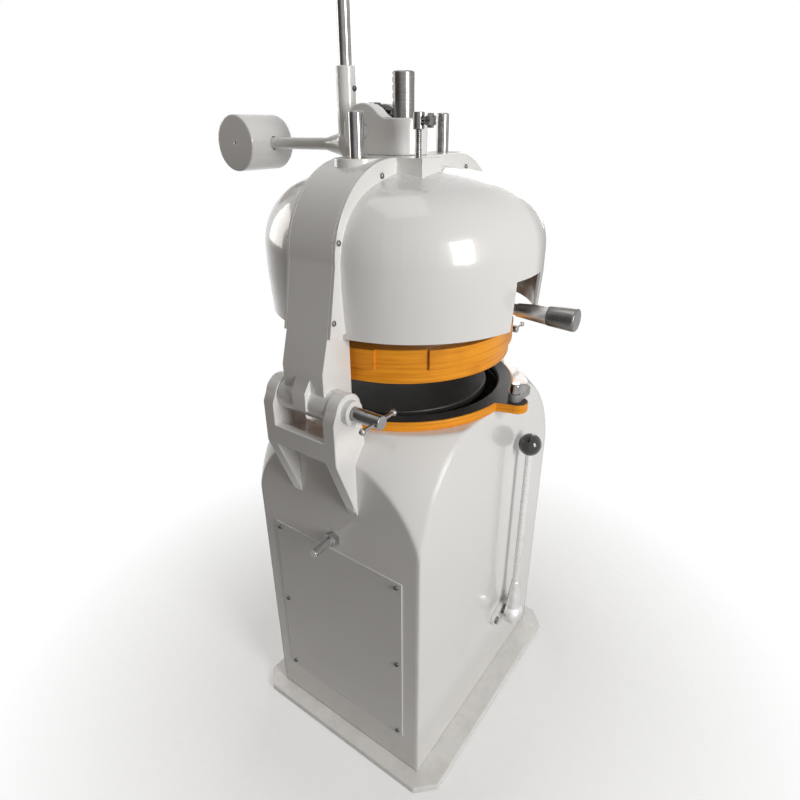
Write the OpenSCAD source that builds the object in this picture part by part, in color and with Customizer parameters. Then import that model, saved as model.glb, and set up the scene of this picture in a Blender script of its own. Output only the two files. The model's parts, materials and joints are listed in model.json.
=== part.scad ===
// Divider rounder: a lever press head over an orbiting moulding table.
// Millimetres. Origin on the floor under the press axis, front is -Y, up is +Z.

/* [Base and body] */
// Width of the base plate
base_w = 636; // [610:1:700]
// Depth of the base plate
base_d = 526; // [490:1:600]
// Thickness of the base plate
base_t = 18; // [12:1:30]
// Length cut off each base corner
base_chamfer = 40; // [10:1:70]
// Width of the body casing
body_w = 566; // [556:1:590]
// Depth of the body casing
body_d = 420; // [410:1:440]
// Body centre right of the press axis
body_x = 12; // [0:1:20]
// Body centre in front of the press axis
body_front = 18; // [0:1:24]
// Wall of the body casing
body_wall = 8; // [6:0.5:10]
// Radius of the rounded shoulder
shoulder_r = 356; // [350:1:370]
// Height of the shoulder's centre
shoulder_z = 578; // [570:1:590]
// Height of the flat land on top
land_z = 832; // [826:1:836]
// Radius of the hole in the land
throat_r = 205; // [200:1:212]
// Width of the side panel
panel_w = 341; // [320:1:360]
// Height of the side panel
panel_h = 443; // [400:1:450]
// Height of the panel's lower edge
panel_z = 112; // [100:1:120]
// Thickness of the side panel
panel_t = 3; // [2:0.5:5]
// Lap of the panel over its opening
panel_lap = 28; // [20:1:36]
// Distance of the panel screws from the panel's edges
screw_edge = 13; // [9:1:16]
// Radius of a panel screw's shank
screw_r = 3; // [2:0.25:4]
// Radius of a screw head
screw_head_r = 5; // [4:0.25:5]
// Height of a screw head
screw_head_h = 4; // [2:0.25:5]

/* [Table] */
// Outer radius of the table ring
ring_r = 235; // [230:1:240]
// Inner radius of the table ring
ring_in = 203; // [201:1:206]
// Height of the table ring
ring_h = 18; // [12:1:22]
// Reach of the ring's front ear from the press axis
ear_reach = 285; // [270:1:295]
// Width of the ear at its root
ear_root = 84; // [60:1:100]
// Width of the ear at its tip
ear_tip = 46; // [36:1:60]
// Ear centre right of the press axis
ear_x = 12; // [0:1:20]
// Distance of the ear's bolt from the press axis
ear_bolt_y = 258; // [250:1:264]
// Radius of the ear's bolt shank
ear_bolt_r = 6; // [4:0.5:8]
// Radius of the ear's bolt head
ear_head_r = 10; // [8:0.5:12]
// Height of the ear's bolt head
ear_head_h = 20; // [14:1:26]
// Radius of the black moulding plate
plate_r = 188; // [180:1:189]
// Thickness of the moulding plate
plate_t = 13; // [9:1:15]
// Height of the moulding plate's underside
plate_z = 834; // [833:0.5:836]
// Radius of the plate carrier
carrier_r = 150; // [130:1:165]
// Thickness of the plate carrier
carrier_t = 22; // [16:1:26]
// Throw of the orbiting drive
orbit = 12; // [8:0.5:13]
// Length of the plate catch from its pivot
catch_l = 40; // [30:1:48]
// Width of the plate catch
catch_w = 26; // [18:1:30]
// Height of the plate catch
catch_h = 16; // [10:1:20]

/* [Drive] */
// Radius of the bearing column
column_r = 55; // [50:1:65]
// Radius of the column's foot flange
column_flange_r = 92; // [84:1:110]
// Thickness of the column's foot flange
column_flange_t = 16; // [12:1:24]
// Height of the column's top
column_top = 593; // [585:1:598]
// Outer radius of a shaft bearing
bearing_r = 40; // [36:1:44]
// Height of a shaft bearing
bearing_h = 23; // [18:1:30]
// Radius of the eccentric shaft
shaft_r = 20; // [17:1:24]
// Height of the lower end of the eccentric shaft
shaft_low = 300; // [260:1:340]
// Height of the crank disc's underside
disc_z = 700; // [690:1:715]
// Thickness of the crank disc
disc_t = 20; // [16:1:26]
// Radius of the crank disc
disc_r = 62; // [54:1:75]
// Radius of the crank pin
pin_r = 15; // [12:0.5:18]
// Height of the crank pin's top
pin_top = 808; // [790:1:811]
// Radius of the carrier's hub
hub_r = 46; // [38:1:56]
// Radius of the driven pulley
pulley_r = 90; // [80:1:100]
// Radius of the motor pulley
small_r = 35; // [28:1:40]
// Height of the pulleys' underside
pulley_z = 606; // [602:1:612]
// Width of the pulleys
pulley_h = 34; // [28:1:38]
// Depth of the belt groove
groove = 6; // [4:0.5:8]
// Width of the belt
belt_h = 20; // [14:1:21]
// Thickness of the belt
belt_t = 5; // [4:0.25:6]
// Gap between the belt and its grooves
belt_gap = 0.6; // [0.4:0.1:1]
// Distance of the motor from the press axis
motor_x = 165; // [155:1:172]
// Radius of the motor
motor_r = 66; // [56:1:68]
// Length of the motor
motor_l = 230; // [190:1:260]
// Radius of the motor's shaft
motor_shaft_r = 12; // [9:0.5:14]
// Thickness of the motor mount
mount_t = 16; // [12:1:20]
// Half width of the motor mount
mount_y = 80; // [74:1:100]
// Left edge of the motor mount from the press axis
mount_x = 247; // [244:1:250]
// Radius of the tension stud
stud_r = 8; // [6:0.5:9]
// Length of the tension stud outside the body
stud_out = 60; // [45:1:75]
// Radius of the tension nut across its corners
nut_r = 16; // [13:0.5:18]
// Thickness of the tension nut
nut_t = 13; // [10:0.5:16]
// Radius of the power gland
gland_r = 13; // [10:0.5:16]
// Height of the power gland
gland_z = 90; // [70:1:120]
// Length of the power gland outside the body
gland_l = 26; // [20:1:34]

/* [Rounding lever] */
// Lever pivot right of the press axis
lever_x = 112; // [90:1:130]
// Height of the lever pivot
lever_z = 200; // [190:1:215]
// Distance of the lever from the front face
lever_off = 33; // [26:1:40]
// Radius of the lever's shaft
lever_shaft_r = 12; // [9:0.5:14]
// Length of the lever's shaft inside the body
lever_shaft_in = 120; // [90:1:140]
// Radius of the lever's hub
lever_hub_r = 25; // [21:0.5:28]
// Half length of the lever's hub
lever_hub_l = 14; // [11:0.5:17]
// Length of the bell above the hub
bell_l = 110; // [80:1:130]
// Radius of the lever's rod
lever_rod_r = 7.5; // [6:0.25:9]
// Radius of the ball
ball_r = 25; // [20:0.5:30]
// Height of the ball's centre
ball_z = 703; // [680:1:720]
// Half spacing of the flange bolts
flange_bolt_x = 45; // [40:1:52]
// Radius of the flange bolt ends
flange_end_r = 15; // [12:0.5:18]
// Thickness of the lever flange
flange_t = 10; // [7:0.5:12]
// Radius of a flange bolt
flange_bolt_r = 5; // [4:0.25:6]
// Length of the trip arm inside the body
trip_l = 62; // [50:1:70]

/* [Head] */
// Half width of the yoke, front to back
yoke_y = 48; // [44:0.5:52]
// Height of the yoke's crown
crown_z = 1290; // [1284:1:1296]
// Thickness of the crown
crown_t = 60; // [54:1:66]
// Half width of the flat crown
crown_x = 108; // [102:1:112]
// Outer radius of the yoke's shoulder
arch_r = 155; // [150:1:158]
// Inner radius of the yoke's corner
arch_in = 104; // [96:1:108]
// Half width between the yoke's legs
leg_in = 230; // [227:1:234]
// Half width of the legs at the domes' rim
knee_x = 284; // [280:1:290]
// Height of the legs' bend
knee_z = 1024; // [1015:1:1035]
// Half width of the legs above the hinge
ankle_x = 302; // [296:1:308]
// Height of the legs' lower bend
ankle_z = 962; // [955:1:970]
// Distance of the hinge from the press axis
hinge_x = 283; // [280:1:286]
// Height of the hinge
hinge_z = 897; // [894:1:900]
// Radius of the hinge knuckle
knuckle_r = 30; // [26:1:31]
// Half length of the far foot along the arch
foot_r = 42; // [38:1:45]
// Half length of the hinge knuckle
knuckle_y = 59.5; // [58:0.25:59.7]
// Height of the right leg's foot
foot_z = 856; // [850:1:862]
// Half width of the stop block
stop_y = 16; // [12:1:20]
// Reach of the stop block past the leg
stop_out = 14; // [8:1:18]
// How far the stop block reaches below the pin
stop_low = 9; // [4:1:14]
// Height of the stop block
stop_h = 52; // [40:1:60]
// Radius of a guide post boss
boss_r = 40; // [36:1:43]
// Distance of the guide posts from the press axis
post_x = 135; // [130:1:140]
// Radius of the guide posts
post_r = 12.5; // [10:0.25:14]
// Height of the posts' tops
post_top = 1361; // [1350:1:1375]
// Radius of the guide bushes
bush_r = 19; // [17:0.5:22]
// Radius of the domes at the rim
dome_rim_r = 248; // [244:1:250]
// Radius of the domes at their widest
dome_r = 253; // [251:1:256]
// How far the middle of each dome half stands off the arch
dome_off = 22; // [18:1:24]
// Height of the domes' rim
dome_z = 1010; // [1004:1:1016]
// Height where the domes are widest
dome_wide_z = 1090; // [1070:1:1110]
// Height of the domes' top
dome_top = 1275; // [1270:1:1279]
// Radius of the domes' rounding
dome_round = 122; // [117:1:126]
// Height of the rounding's centre
dome_arc_z = 1132; // [1128:1:1136]
// Wall of the domes
dome_wall = 6; // [4:0.5:8]
// Thickness of the domes' flanges
dome_flange = 6; // [4:0.5:8]
// Height of the flanges' lower end
flange_low = 1020; // [1016:1:1024]
// Half width of the handle notch
notch_x = 49; // [45:1:54]
// Height of the handle notch's top
notch_top = 1099; // [1090:1:1110]
// Width of the chimney boss
chimney_w = 60; // [50:1:64]
// Chimney centre left of the press axis
chimney_x = 67; // [62:1:72]
// Front face of the chimney from the press axis
chimney_y = 107; // [100:1:110]

/* [Hinge and rest] */
// Inner face of the bracket ears
ear_in = 60; // [60:0.25:62]
// Thickness of the bracket ears
ear_t = 26; // [20:1:30]
// Radius of the ears' tops
ear_r = 32; // [31:1:36]
// Drop of the ear's outer corner below the pin
ear_drop = 11; // [6:1:16]
// How far the web stands out beyond the ear's round top
web_off = 8; // [4:1:10]
// Depth of the bracket web
web_t = 16; // [12:1:20]
// Height of the bracket web's underside
web_z = 805; // [800:1:812]
// Height of the bracket web
web_h = 38; // [30:1:44]
// Height of the gussets' lower tips
gusset_z = 667; // [650:1:690]
// Radius of the hinge pin
hinge_pin_r = 12.5; // [11:0.25:14]
// Front end of the hinge pin from the press axis
hinge_pin_y = 158; // [150:1:166]
// Radius of the pin bushes
pin_bush_r = 22; // [19:0.5:25]
// Length of the front pin bush past the ear
pin_bush_out = 12; // [8:1:16]
// Radius of the tommy bars
bar_r = 3.5; // [3:0.25:4.5]
// Length of the tommy bars
bar_l = 84; // [70:1:96]
// Radius of the ends of the tommy bars
bar_end_r = 6; // [5:0.25:8]
// Front end of the clamp screw from the press axis
clamp_y = 132; // [126:1:140]
// Radius of the clamp screw
clamp_r = 9; // [7:0.5:11]

/* [Lever and rack] */
// Radius of the press shaft
press_r = 20; // [18:0.5:21]
// Height of the press shaft's top
press_top = 1425; // [1410:1:1435]
// Rack pitch line behind the press axis
rack_y = 16; // [15:0.25:17]
// Module of the rack and pinion
tooth_m = 4; // [3.8:0.05:4.2]
// Backlash of the rack and pinion
backlash = 0.7; // [0.3:0.05:0.9]
// Height of the pinion's axis
pinion_z = 1330; // [1326:1:1334]
// Width of the pinion and the lever's web
pinion_w = 30; // [24:0.5:32]
// Half width of the lever bracket
bracket_x = 46; // [42:0.5:48]
// Height of the bracket's front
bracket_top = 1351; // [1346:1:1354]
// Radius of the bracket's round cheeks
cheek_r = 46; // [43:0.5:50]
// Radius of the blend in front of the cheeks
cheek_blend = 34; // [24:1:44]
// Radius of the pinion's axle
axle_r = 12; // [10:0.5:14]
// Distance of the lever's socket behind the press axis
socket_y = 133; // [130:1:138]
// Radius of the lever's socket
socket_r = 19; // [17:0.5:21]
// Height of the lever's socket top
socket_top = 1440; // [1425:1:1455]
// Radius of the hand rod
hand_r = 12.5; // [10:0.25:14]
// Height of the hand rod's top
hand_top = 1750; // [1650:5:1900]
// Length of the hand grip
grip_l = 120; // [100:1:140]
// Radius of the hand grip
grip_r = 17; // [15:0.5:20]
// Radius of the counterweight's arm
arm_r = 11.5; // [10:0.5:14]
// Height of the counterweight's axis
weight_z = 1306; // [1300:1:1312]
// Distance of the counterweight behind the press axis
weight_y = 400; // [380:1:440]
// Radius of the counterweight
weight_r = 56; // [50:1:62]
// Half length of the counterweight
weight_x = 62; // [54:1:70]
// Rounding of the counterweight's far end
weight_round = 14; // [8:1:18]

/* [Press] */
// Height of the crosshead's underside
cross_z = 1055; // [1048:1:1062]
// Thickness of the crosshead
cross_t = 30; // [24:1:36]
// Half length of the crosshead
cross_x = 165; // [158:1:172]
// Half width of the crosshead
cross_y = 34; // [28:1:40]
// Radius of the stop rod
rod_r = 6; // [5:0.5:7]
// Distance of the stop rod in front of the press axis
rod_y = 78; // [74:1:82]
// Distance of the stop rod left of the press axis
rod_x = 66; // [62:1:70]
// Height of the stop rod's top
rod_top = 1356; // [1350:1:1362]
// Height of the stop sleeve's underside
sleeve_z = 1333; // [1332:0.5:1338]
// Height of the stop sleeve
sleeve_h = 26; // [22:0.5:30]
// Radius of the stop sleeve
sleeve_r = 10; // [9:0.25:11]
// Radius of the thumb screw's knob
thumb_r = 11; // [9:0.5:12]
// Length of the thumb screw's knob
thumb_l = 9; // [7:0.5:12]
// Reach of the thumb screw from the stop rod
thumb_out = 28; // [24:1:32]
// Radius of the head plate
head_r = 202; // [200:0.5:204]
// Height of the head plate's underside
head_z = 955; // [950:1:960]
// Thickness of the head plate
head_t = 20; // [15:1:24]
// Radius of the head plate's hub
head_hub_r = 40; // [34:1:44]
// Thickness of a knife blade
blade_t = 3; // [2.5:0.25:4]
// Height of the knife blades
blade_h = 34; // [28:1:35]
// Gap between a blade and a pad
blade_gap = 1; // [0.75:0.05:1.5]
// Height of the pads' underside
pad_z = 926; // [924:0.5:930]
// Thickness of the pads
pad_t = 12; // [9:0.5:14]
// Radius of a pad's stem
stem_r = 5; // [4:0.5:6]
// Height of the stem plate's underside
spider_z = 988; // [985:0.5:992]
// Thickness of the stem plate
spider_t = 8; // [6:0.5:10]
// Radius of the stem plate
spider_r = 180; // [176:1:182]
// Radius of the cam ring
cam_r = 219; // [216:1:222]
// Radius of the cam ring's raised bands
cam_band_r = 225; // [223:1:226]
// Height of the cam ring's underside
cam_z = 920; // [916:1:922]
// Height of the cam ring's top
cam_top = 985; // [982:1:987]
// Height of the bands' underside
band_z = 948; // [940:1:956]
// Inner radius of the cam ring's lip
lip_r = 188; // [186:1:192]
// Height of the handle's axis
handle_z = 1036; // [1030:1:1040]
// Front end of the handle from the press axis
handle_end = 364; // [350:1:376]
// Start of the handle's sleeve from the press axis
handle_sleeve = 313; // [305:1:320]
// Radius of the handle's sleeve
handle_r = 20.5; // [18:0.25:22]
// Radius of the handle's neck
neck_r = 10; // [8:0.5:12]

/* [Hidden] */
$fn = 96;
overrun = 2;
run_gap = 0.05;
near_gap = 0.3;
press_gap = 0.02;
edge = 2;
teeth = 22;
pressure = 20;
rows = [5, 10, 15];
row_shares = [0, 0.4, 0.71, 1];
band_starts = [227, 347, 107];
band_angle = 95;
band_gap = 12;
tooth_tip_share = 0.9;
tooth_root_share = 1.25;
half_share = 0.5;
ear_lean = 40;
third_share = 0.34;
pinch_share = 0.72;
web_share = 0.75;
bell_share = 0.62;
rim_share = 0.85;
body_y = -body_front;
body_left = body_x - body_w / 2;
body_right = body_x + body_w / 2;
body_face = body_y - body_d / 2;
body_back = body_y + body_d / 2;
ring_top = land_z + ring_h;
pitch_r = tooth_m * teeth / 2;
pinion_y = rack_y + pitch_r;
tip_r = pitch_r + tooth_m * tooth_tip_share;
root_r = pitch_r - tooth_m * tooth_root_share;
base_r = pitch_r * cos(pressure);
web_r = tip_r * web_share;
tooth_p = PI * tooth_m;
stud_z = column_top - mount_t / 2;
lever_y = body_face - lever_off;
bell_r = min(lever_hub_r * rim_share, lever_off - flange_t - edge);
knife_r = head_r - edge;
cross_top = cross_z + cross_t;
arch_z = crown_z - arch_r;
crown_low = crown_z - crown_t;
arch_in_z = crown_low - arch_in;
arch_in_x = leg_in - arch_in;
web_out = hinge_x + ear_r + web_off;
dome_arc_x = dome_r - dome_round;
dome_rise = dome_top - dome_round;
dome_cap_z = (dome_rise * dome_rise - dome_arc_z * dome_arc_z - dome_arc_x * dome_arc_x)
    / (dome_rise - dome_arc_z) / 2;
dome_cap_r = dome_top - dome_cap_z;
catch_y = sqrt(ring_r * ring_r - ear_x * ear_x);
pin_bar_y = hinge_pin_y - bar_end_r - edge;
clamp_bar_y = clamp_y - bar_end_r - edge;

// Bars along X, Y and Z between two stations.
module bar_x(r, a, b) { translate([a, 0, 0]) rotate([0, 90, 0]) cylinder(r = r, h = b - a); }
module bar_y(r, a, b) { translate([0, a, 0]) rotate([-90, 0, 0]) cylinder(r = r, h = b - a); }
module bar_z(r, a, b) { translate([0, 0, a]) cylinder(r = r, h = b - a); }

// Flat drawings in XZ pulled along Y, and in YZ pulled along X.
module plate_y(a, b) { translate([0, b, 0]) rotate([90, 0, 0]) linear_extrude(b - a) children(); }
module plate_x(a, b) { translate([a, 0, 0]) rotate([90, 0, 90]) linear_extrude(b - a) children(); }

module block(a, b) { translate(a) cube(b - a); }

// The body's outer form, or its inside when inset by the wall.
module body_form(inset, low, high) {
    intersection() {
        block([body_left + inset, body_face + inset, low],
            [body_right - inset, body_back - inset, high]);
        translate([body_x, body_y, 0]) union() {
            bar_z(shoulder_r - inset, low, shoulder_z);
            translate([0, 0, shoulder_z]) sphere(shoulder_r - inset);
        }
    }
}

module panel_points() {
    for (side = [-1, 1], row = [0, 1, 2])
        translate([0, body_y + side * (panel_w / 2 - screw_edge),
            panel_z + screw_edge + row * (panel_h - screw_edge * 2) / 2]) children();
}

module flange_points() {
    for (side = [-1, 1]) translate([lever_x + side * flange_bolt_x, 0, lever_z]) children();
}

module base_plate() color([0.88, 0.88, 0.87]) {
    linear_extrude(base_t) translate([body_x, body_y]) polygon([
        [base_chamfer - base_w / 2, -base_d / 2], [base_w / 2 - base_chamfer, -base_d / 2],
        [base_w / 2, base_chamfer - base_d / 2], [base_w / 2, base_d / 2 - base_chamfer],
        [base_w / 2 - base_chamfer, base_d / 2], [base_chamfer - base_w / 2, base_d / 2],
        [-base_w / 2, base_d / 2 - base_chamfer], [-base_w / 2, base_chamfer - base_d / 2]]);
}

module body_casing() color([0.9, 0.9, 0.89]) difference() {
    body_form(0, base_t, land_z);
    body_form(body_wall, base_t - overrun, land_z - body_wall);
    bar_z(throat_r, land_z - body_wall - overrun, land_z + overrun);
    block([body_left - overrun, body_y - panel_w / 2 + panel_lap, panel_z + panel_lap],
        [body_left + body_wall + overrun, body_y + panel_w / 2 - panel_lap,
        panel_z + panel_h - panel_lap]);
    panel_points() bar_x(screw_r + press_gap, body_left - overrun, body_left + body_wall + overrun);
    translate([0, body_y, stud_z])
        bar_x(stud_r + run_gap, body_left - overrun, body_left + body_wall + overrun);
    translate([lever_x, 0, lever_z])
        bar_y(lever_shaft_r + edge, body_face - overrun, body_face + body_wall + overrun);
    flange_points()
        bar_y(flange_bolt_r + press_gap, body_face - overrun, body_face + body_wall + overrun);
    translate([body_x, 0, gland_z])
        bar_y(gland_r + press_gap, body_back - body_wall - overrun, body_back + overrun);
}

module side_panel() color([0.84, 0.84, 0.83]) difference() {
    block([body_left - panel_t, body_y - panel_w / 2, panel_z],
        [body_left, body_y + panel_w / 2, panel_z + panel_h]);
    panel_points() bar_x(screw_r + press_gap, body_left - panel_t - overrun, body_left + overrun);
}

module panel_screws() color([0.75, 0.75, 0.75]) panel_points() {
    bar_x(screw_r, body_left - panel_t, body_left + body_wall + edge);
    bar_x(screw_head_r, body_left - panel_t - screw_head_h, body_left - panel_t);
}

// One ear with its gusset, drawn on the left side of the machine.
module ear_shape(top_r) {
    translate([-hinge_x, hinge_z]) circle(top_r);
    polygon([[-hinge_x - top_r * cos(ear_lean), hinge_z + top_r * sin(ear_lean)], [-web_out, hinge_z - ear_drop],
        [-web_out, web_z], [body_left, gusset_z], [body_left + ear_t, gusset_z], [-hinge_x + foot_r, web_z],
        [-hinge_x + top_r * cos(ear_lean / 2), hinge_z - top_r * sin(ear_lean / 2)], [-hinge_x, hinge_z]]);
}

module bracket_blank() {
    for (side = [0, 1]) mirror([0, side, 0]) plate_y(ear_in, ear_in + ear_t) ear_shape(ear_r);
    block([-web_out, -ear_in - overrun, web_z], [-web_out + web_t, ear_in + overrun, web_z + web_h]);
    block([-web_out, -ear_in - overrun, web_z], [-hinge_x + foot_r, ear_in + overrun, web_z + web_t]);
}

module hinge_bracket() color([0.88, 0.88, 0.87]) difference() {
    bracket_blank();
    body_form(0, base_t, land_z);
    bar_z(throat_r + ring_h * 2, base_t, ring_top + ring_h);
    translate([-hinge_x, 0, hinge_z])
        bar_y(pin_bush_r * pinch_share + press_gap, -ear_in - ear_t - overrun, ear_in + ear_t + overrun);
}

module pin_bushes() color([0.86, 0.86, 0.85]) translate([-hinge_x, 0, hinge_z]) difference() {
    union() {
        bar_y(pin_bush_r * pinch_share, -ear_in - ear_t, -ear_in);
        bar_y(pin_bush_r, -ear_in - ear_t - pin_bush_out, -ear_in - ear_t);
        bar_y(pin_bush_r * pinch_share, ear_in, ear_in + ear_t);
        bar_y(pin_bush_r, ear_in + ear_t, ear_in + ear_t + pin_bush_out / 2);
    }
    bar_y(hinge_pin_r + run_gap, -hinge_pin_y, hinge_pin_y);
}

module rest_bracket() color([0.88, 0.88, 0.87]) difference() {
    union() {
        mirror([1, 0, 0]) bracket_blank();
        block([hinge_x - foot_r, -ear_in - overrun, web_z],
            [hinge_x + foot_r * half_share, ear_in + overrun, foot_z]);
    }
    body_form(0, base_t, land_z);
    bar_z(throat_r + ring_h * 2, base_t, ring_top + ring_h);
    translate([hinge_x, 0, hinge_z])
        bar_y(clamp_r + run_gap, -ear_in - ear_t - overrun, -ear_in + overrun);
}

module hinge_pin() color([0.8, 0.8, 0.82]) translate([-hinge_x, 0, hinge_z]) difference() {
    bar_y(hinge_pin_r, -hinge_pin_y, ear_in + ear_t + pin_bush_out);
    translate([0, -pin_bar_y, 0]) bar_x(bar_r + run_gap, -hinge_pin_r - overrun, hinge_pin_r + overrun);
}

module tommy_bar() rotate([0, 90, 0]) rotate_extrude() intersection() {
    union() {
        translate([0, -bar_l / 2]) square([bar_r, bar_l]);
        for (side = [-1, 1]) translate([0, side * bar_l / 2]) circle(bar_end_r);
    }
    translate([0, -bar_l]) square([bar_end_r, bar_l * 2]);
}

module hinge_bar() color([0.8, 0.8, 0.82]) translate([-hinge_x, -pin_bar_y, hinge_z]) tommy_bar();

module clamp_screw() color([0.8, 0.8, 0.82]) translate([hinge_x, 0, hinge_z]) difference() {
    bar_y(clamp_r, -clamp_y, -knuckle_y - near_gap);
    translate([0, -clamp_bar_y, 0]) bar_x(bar_r + run_gap, -clamp_r - overrun, clamp_r + overrun);
}

module clamp_bar() color([0.8, 0.8, 0.82]) translate([hinge_x, -clamp_bar_y, hinge_z]) tommy_bar();

module table_ring() color([0.85, 0.5, 0.14]) difference() {
    union() {
        rotate_extrude() polygon([[ring_in, land_z], [ring_r, land_z], [ring_r, ring_top - edge],
            [ring_r - edge, ring_top], [ring_in + edge, ring_top], [ring_in, ring_top - edge]]);
        difference() {
            translate([0, 0, land_z]) linear_extrude(ring_h) {
                polygon([[ear_x - ear_root / 2, -ring_in], [ear_x + ear_root / 2, -ring_in],
                    [ear_x + ear_tip / 2, ear_tip / 2 - ear_reach],
                    [ear_x - ear_tip / 2, ear_tip / 2 - ear_reach]]);
                translate([ear_x, ear_tip / 2 - ear_reach]) circle(ear_tip / 2);
            }
            bar_z(ring_in + edge, land_z - overrun, ring_top + overrun);
        }
    }
    translate([ear_x, -ear_bolt_y, 0]) bar_z(ear_bolt_r + run_gap, land_z - overrun, ring_top + overrun);
}

module catch_bolt() color([0.8, 0.8, 0.82]) translate([ear_x, -ear_bolt_y, 0]) {
    bar_z(ear_bolt_r, land_z, ring_top + catch_h);
    bar_z(ear_head_r, ring_top + catch_h, ring_top + catch_h + ear_head_h - edge);
    translate([0, 0, ring_top + catch_h + ear_head_h - edge])
        cylinder(r1 = ear_head_r, r2 = ear_head_r - edge, h = edge);
}

module plate_catch() color([0.6, 0.6, 0.6]) translate([ear_x, -ear_bolt_y, 0]) difference() {
    translate([0, 0, ring_top]) linear_extrude(catch_h) {
        circle(catch_w / 2);
        translate([0, -catch_w / 2]) square([catch_l, catch_w]);
        translate([catch_l, 0]) circle(catch_w / 2);
    }
    bar_z(ear_bolt_r + run_gap, land_z, ring_top + catch_h + overrun);
}

module column_bolts() {
    for (turn = [0 : 60 : 300]) rotate(turn) translate([(column_r + column_flange_r) / 2, 0, 0]) children();
}

module bearing_column() color([0.45, 0.47, 0.5]) difference() {
    union() {
        bar_z(column_flange_r, base_t, base_t + column_flange_t);
        bar_z(column_r, base_t, column_top);
    }
    bar_z(shaft_r + edge * 2, base_t - overrun, column_top + overrun);
    bar_z(bearing_r + press_gap, column_top - bearing_h, column_top + overrun);
    bar_z(bearing_r + press_gap, base_t - overrun, shaft_low + bearing_h);
    column_bolts() bar_z(flange_bolt_r + press_gap, base_t - overrun, base_t + column_flange_t + overrun);
}

module drive_bolts() color([0.6, 0.6, 0.62]) {
    column_bolts() {
        bar_z(flange_bolt_r, base_t, base_t + column_flange_t);
        translate([0, 0, base_t + column_flange_t]) cylinder(r = flange_bolt_r * 2, h = flange_bolt_r, $fn = 6);
    }
}

module shaft_bearings() color([0.7, 0.7, 0.72]) for (low = [shaft_low, column_top - bearing_h])
    difference() {
        bar_z(bearing_r, low, low + bearing_h);
        bar_z(shaft_r + run_gap, low - overrun, low + bearing_h + overrun);
    }

module eccentric_shaft() color([0.7, 0.7, 0.72]) {
    bar_z(shaft_r, shaft_low, disc_z + edge);
    bar_z(disc_r, disc_z, disc_z + disc_t);
    translate([0, orbit, 0]) bar_z(pin_r, disc_z + disc_t - edge, pin_top);
}

module plate_carrier() color([0.6, 0.62, 0.64]) translate([0, orbit, 0]) difference() {
    union() {
        bar_z(carrier_r, plate_z - carrier_t, plate_z);
        bar_z(hub_r, disc_z + disc_t, plate_z);
    }
    bar_z(pin_r + run_gap, disc_z + disc_t - overrun, pin_top + edge * half_share);
}

module moulding_plate() color([0.12, 0.12, 0.12]) translate([0, orbit, 0]) {
    bar_z(plate_r, plate_z, plate_z + plate_t - edge);
    translate([0, 0, plate_z + plate_t - edge]) cylinder(r1 = plate_r, r2 = plate_r - edge, h = edge);
}

module pulley_form(rim, bore) {
    rotate_extrude() polygon([[bore, pulley_z], [rim, pulley_z], [rim, pulley_z + groove],
        [rim - groove, pulley_z + groove], [rim - groove, pulley_z + pulley_h - groove],
        [rim, pulley_z + pulley_h - groove], [rim, pulley_z + pulley_h], [bore, pulley_z + pulley_h]]);
}

module driven_pulley() color([0.45, 0.45, 0.47]) difference() {
    pulley_form(pulley_r, shaft_r + press_gap);
    for (turn = [0 : 72 : 288]) rotate(turn) translate([(pulley_r + shaft_r) / 2, 0, 0])
        bar_z(shaft_r * half_share, pulley_z - overrun, pulley_z + pulley_h + overrun);
}

module motor_pulley() color([0.45, 0.45, 0.47]) translate([-motor_x, 0, 0]) {
    pulley_form(small_r, 0);
    bar_z(motor_shaft_r, column_top - mount_t - motor_l * half_share, pulley_z + edge);
}

// The closed line of the belt around both pulleys, grown outwards.
module belt_line(grow) {
    big = pulley_r - groove + grow;
    small = small_r - groove + grow;
    lean = acos((pulley_r - small_r) / motor_x);
    circle(big);
    translate([-motor_x, 0]) circle(small);
    // the straight runs sag inward a little, so that they cross the turns
    polygon([[-(big - belt_gap) * cos(lean), (big - belt_gap) * sin(lean)],
        [-motor_x - (small - belt_gap) * cos(lean), (small - belt_gap) * sin(lean)],
        [-motor_x - (small - belt_gap) * cos(lean), -(small - belt_gap) * sin(lean)],
        [-(big - belt_gap) * cos(lean), -(big - belt_gap) * sin(lean)]]);
}

module drive_belt() color([0.12, 0.12, 0.12]) {
    translate([0, 0, pulley_z + (pulley_h - belt_h) / 2]) linear_extrude(belt_h) difference() {
        belt_line(belt_gap + belt_t);
        belt_line(belt_gap);
    }
}

module motor_mount() color([0.55, 0.57, 0.6]) difference() {
    block([-mount_x, -mount_y, column_top - mount_t], [column_r + edge, mount_y, column_top]);
    bar_z(column_r + press_gap, column_top - mount_t - overrun, column_top + overrun);
    translate([-motor_x, 0, 0]) bar_z(motor_shaft_r + edge, column_top - mount_t - overrun, column_top + overrun);
}

module motor() color([0.4, 0.45, 0.55]) translate([-motor_x, 0, 0]) difference() {
    union() {
        bar_z(motor_r, column_top - mount_t - motor_l, column_top - mount_t);
        for (turn = [0 : 20 : 340]) rotate(turn)
            block([motor_r - edge, -edge, column_top - mount_t - motor_l * rim_share],
                [motor_r + groove, edge, column_top - mount_t - motor_l * (1 - rim_share)]);
        block([0, -motor_r * half_share, column_top - mount_t - motor_l * bell_share],
            [motor_r + groove * 4, motor_r * half_share, column_top - mount_t - motor_l * third_share]);
    }
    bar_z(motor_shaft_r + near_gap, column_top - mount_t - motor_l * half_share - near_gap,
        column_top - mount_t + overrun);
}

module tension_nut() color([0.78, 0.78, 0.8]) translate([0, body_y, stud_z]) difference() {
    translate([body_left - nut_t, 0, 0]) rotate([0, 90, 0]) cylinder(r = nut_r, h = nut_t, $fn = 6);
    bar_x(stud_r + run_gap, body_left - nut_t - overrun, body_left + overrun);
}

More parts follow.
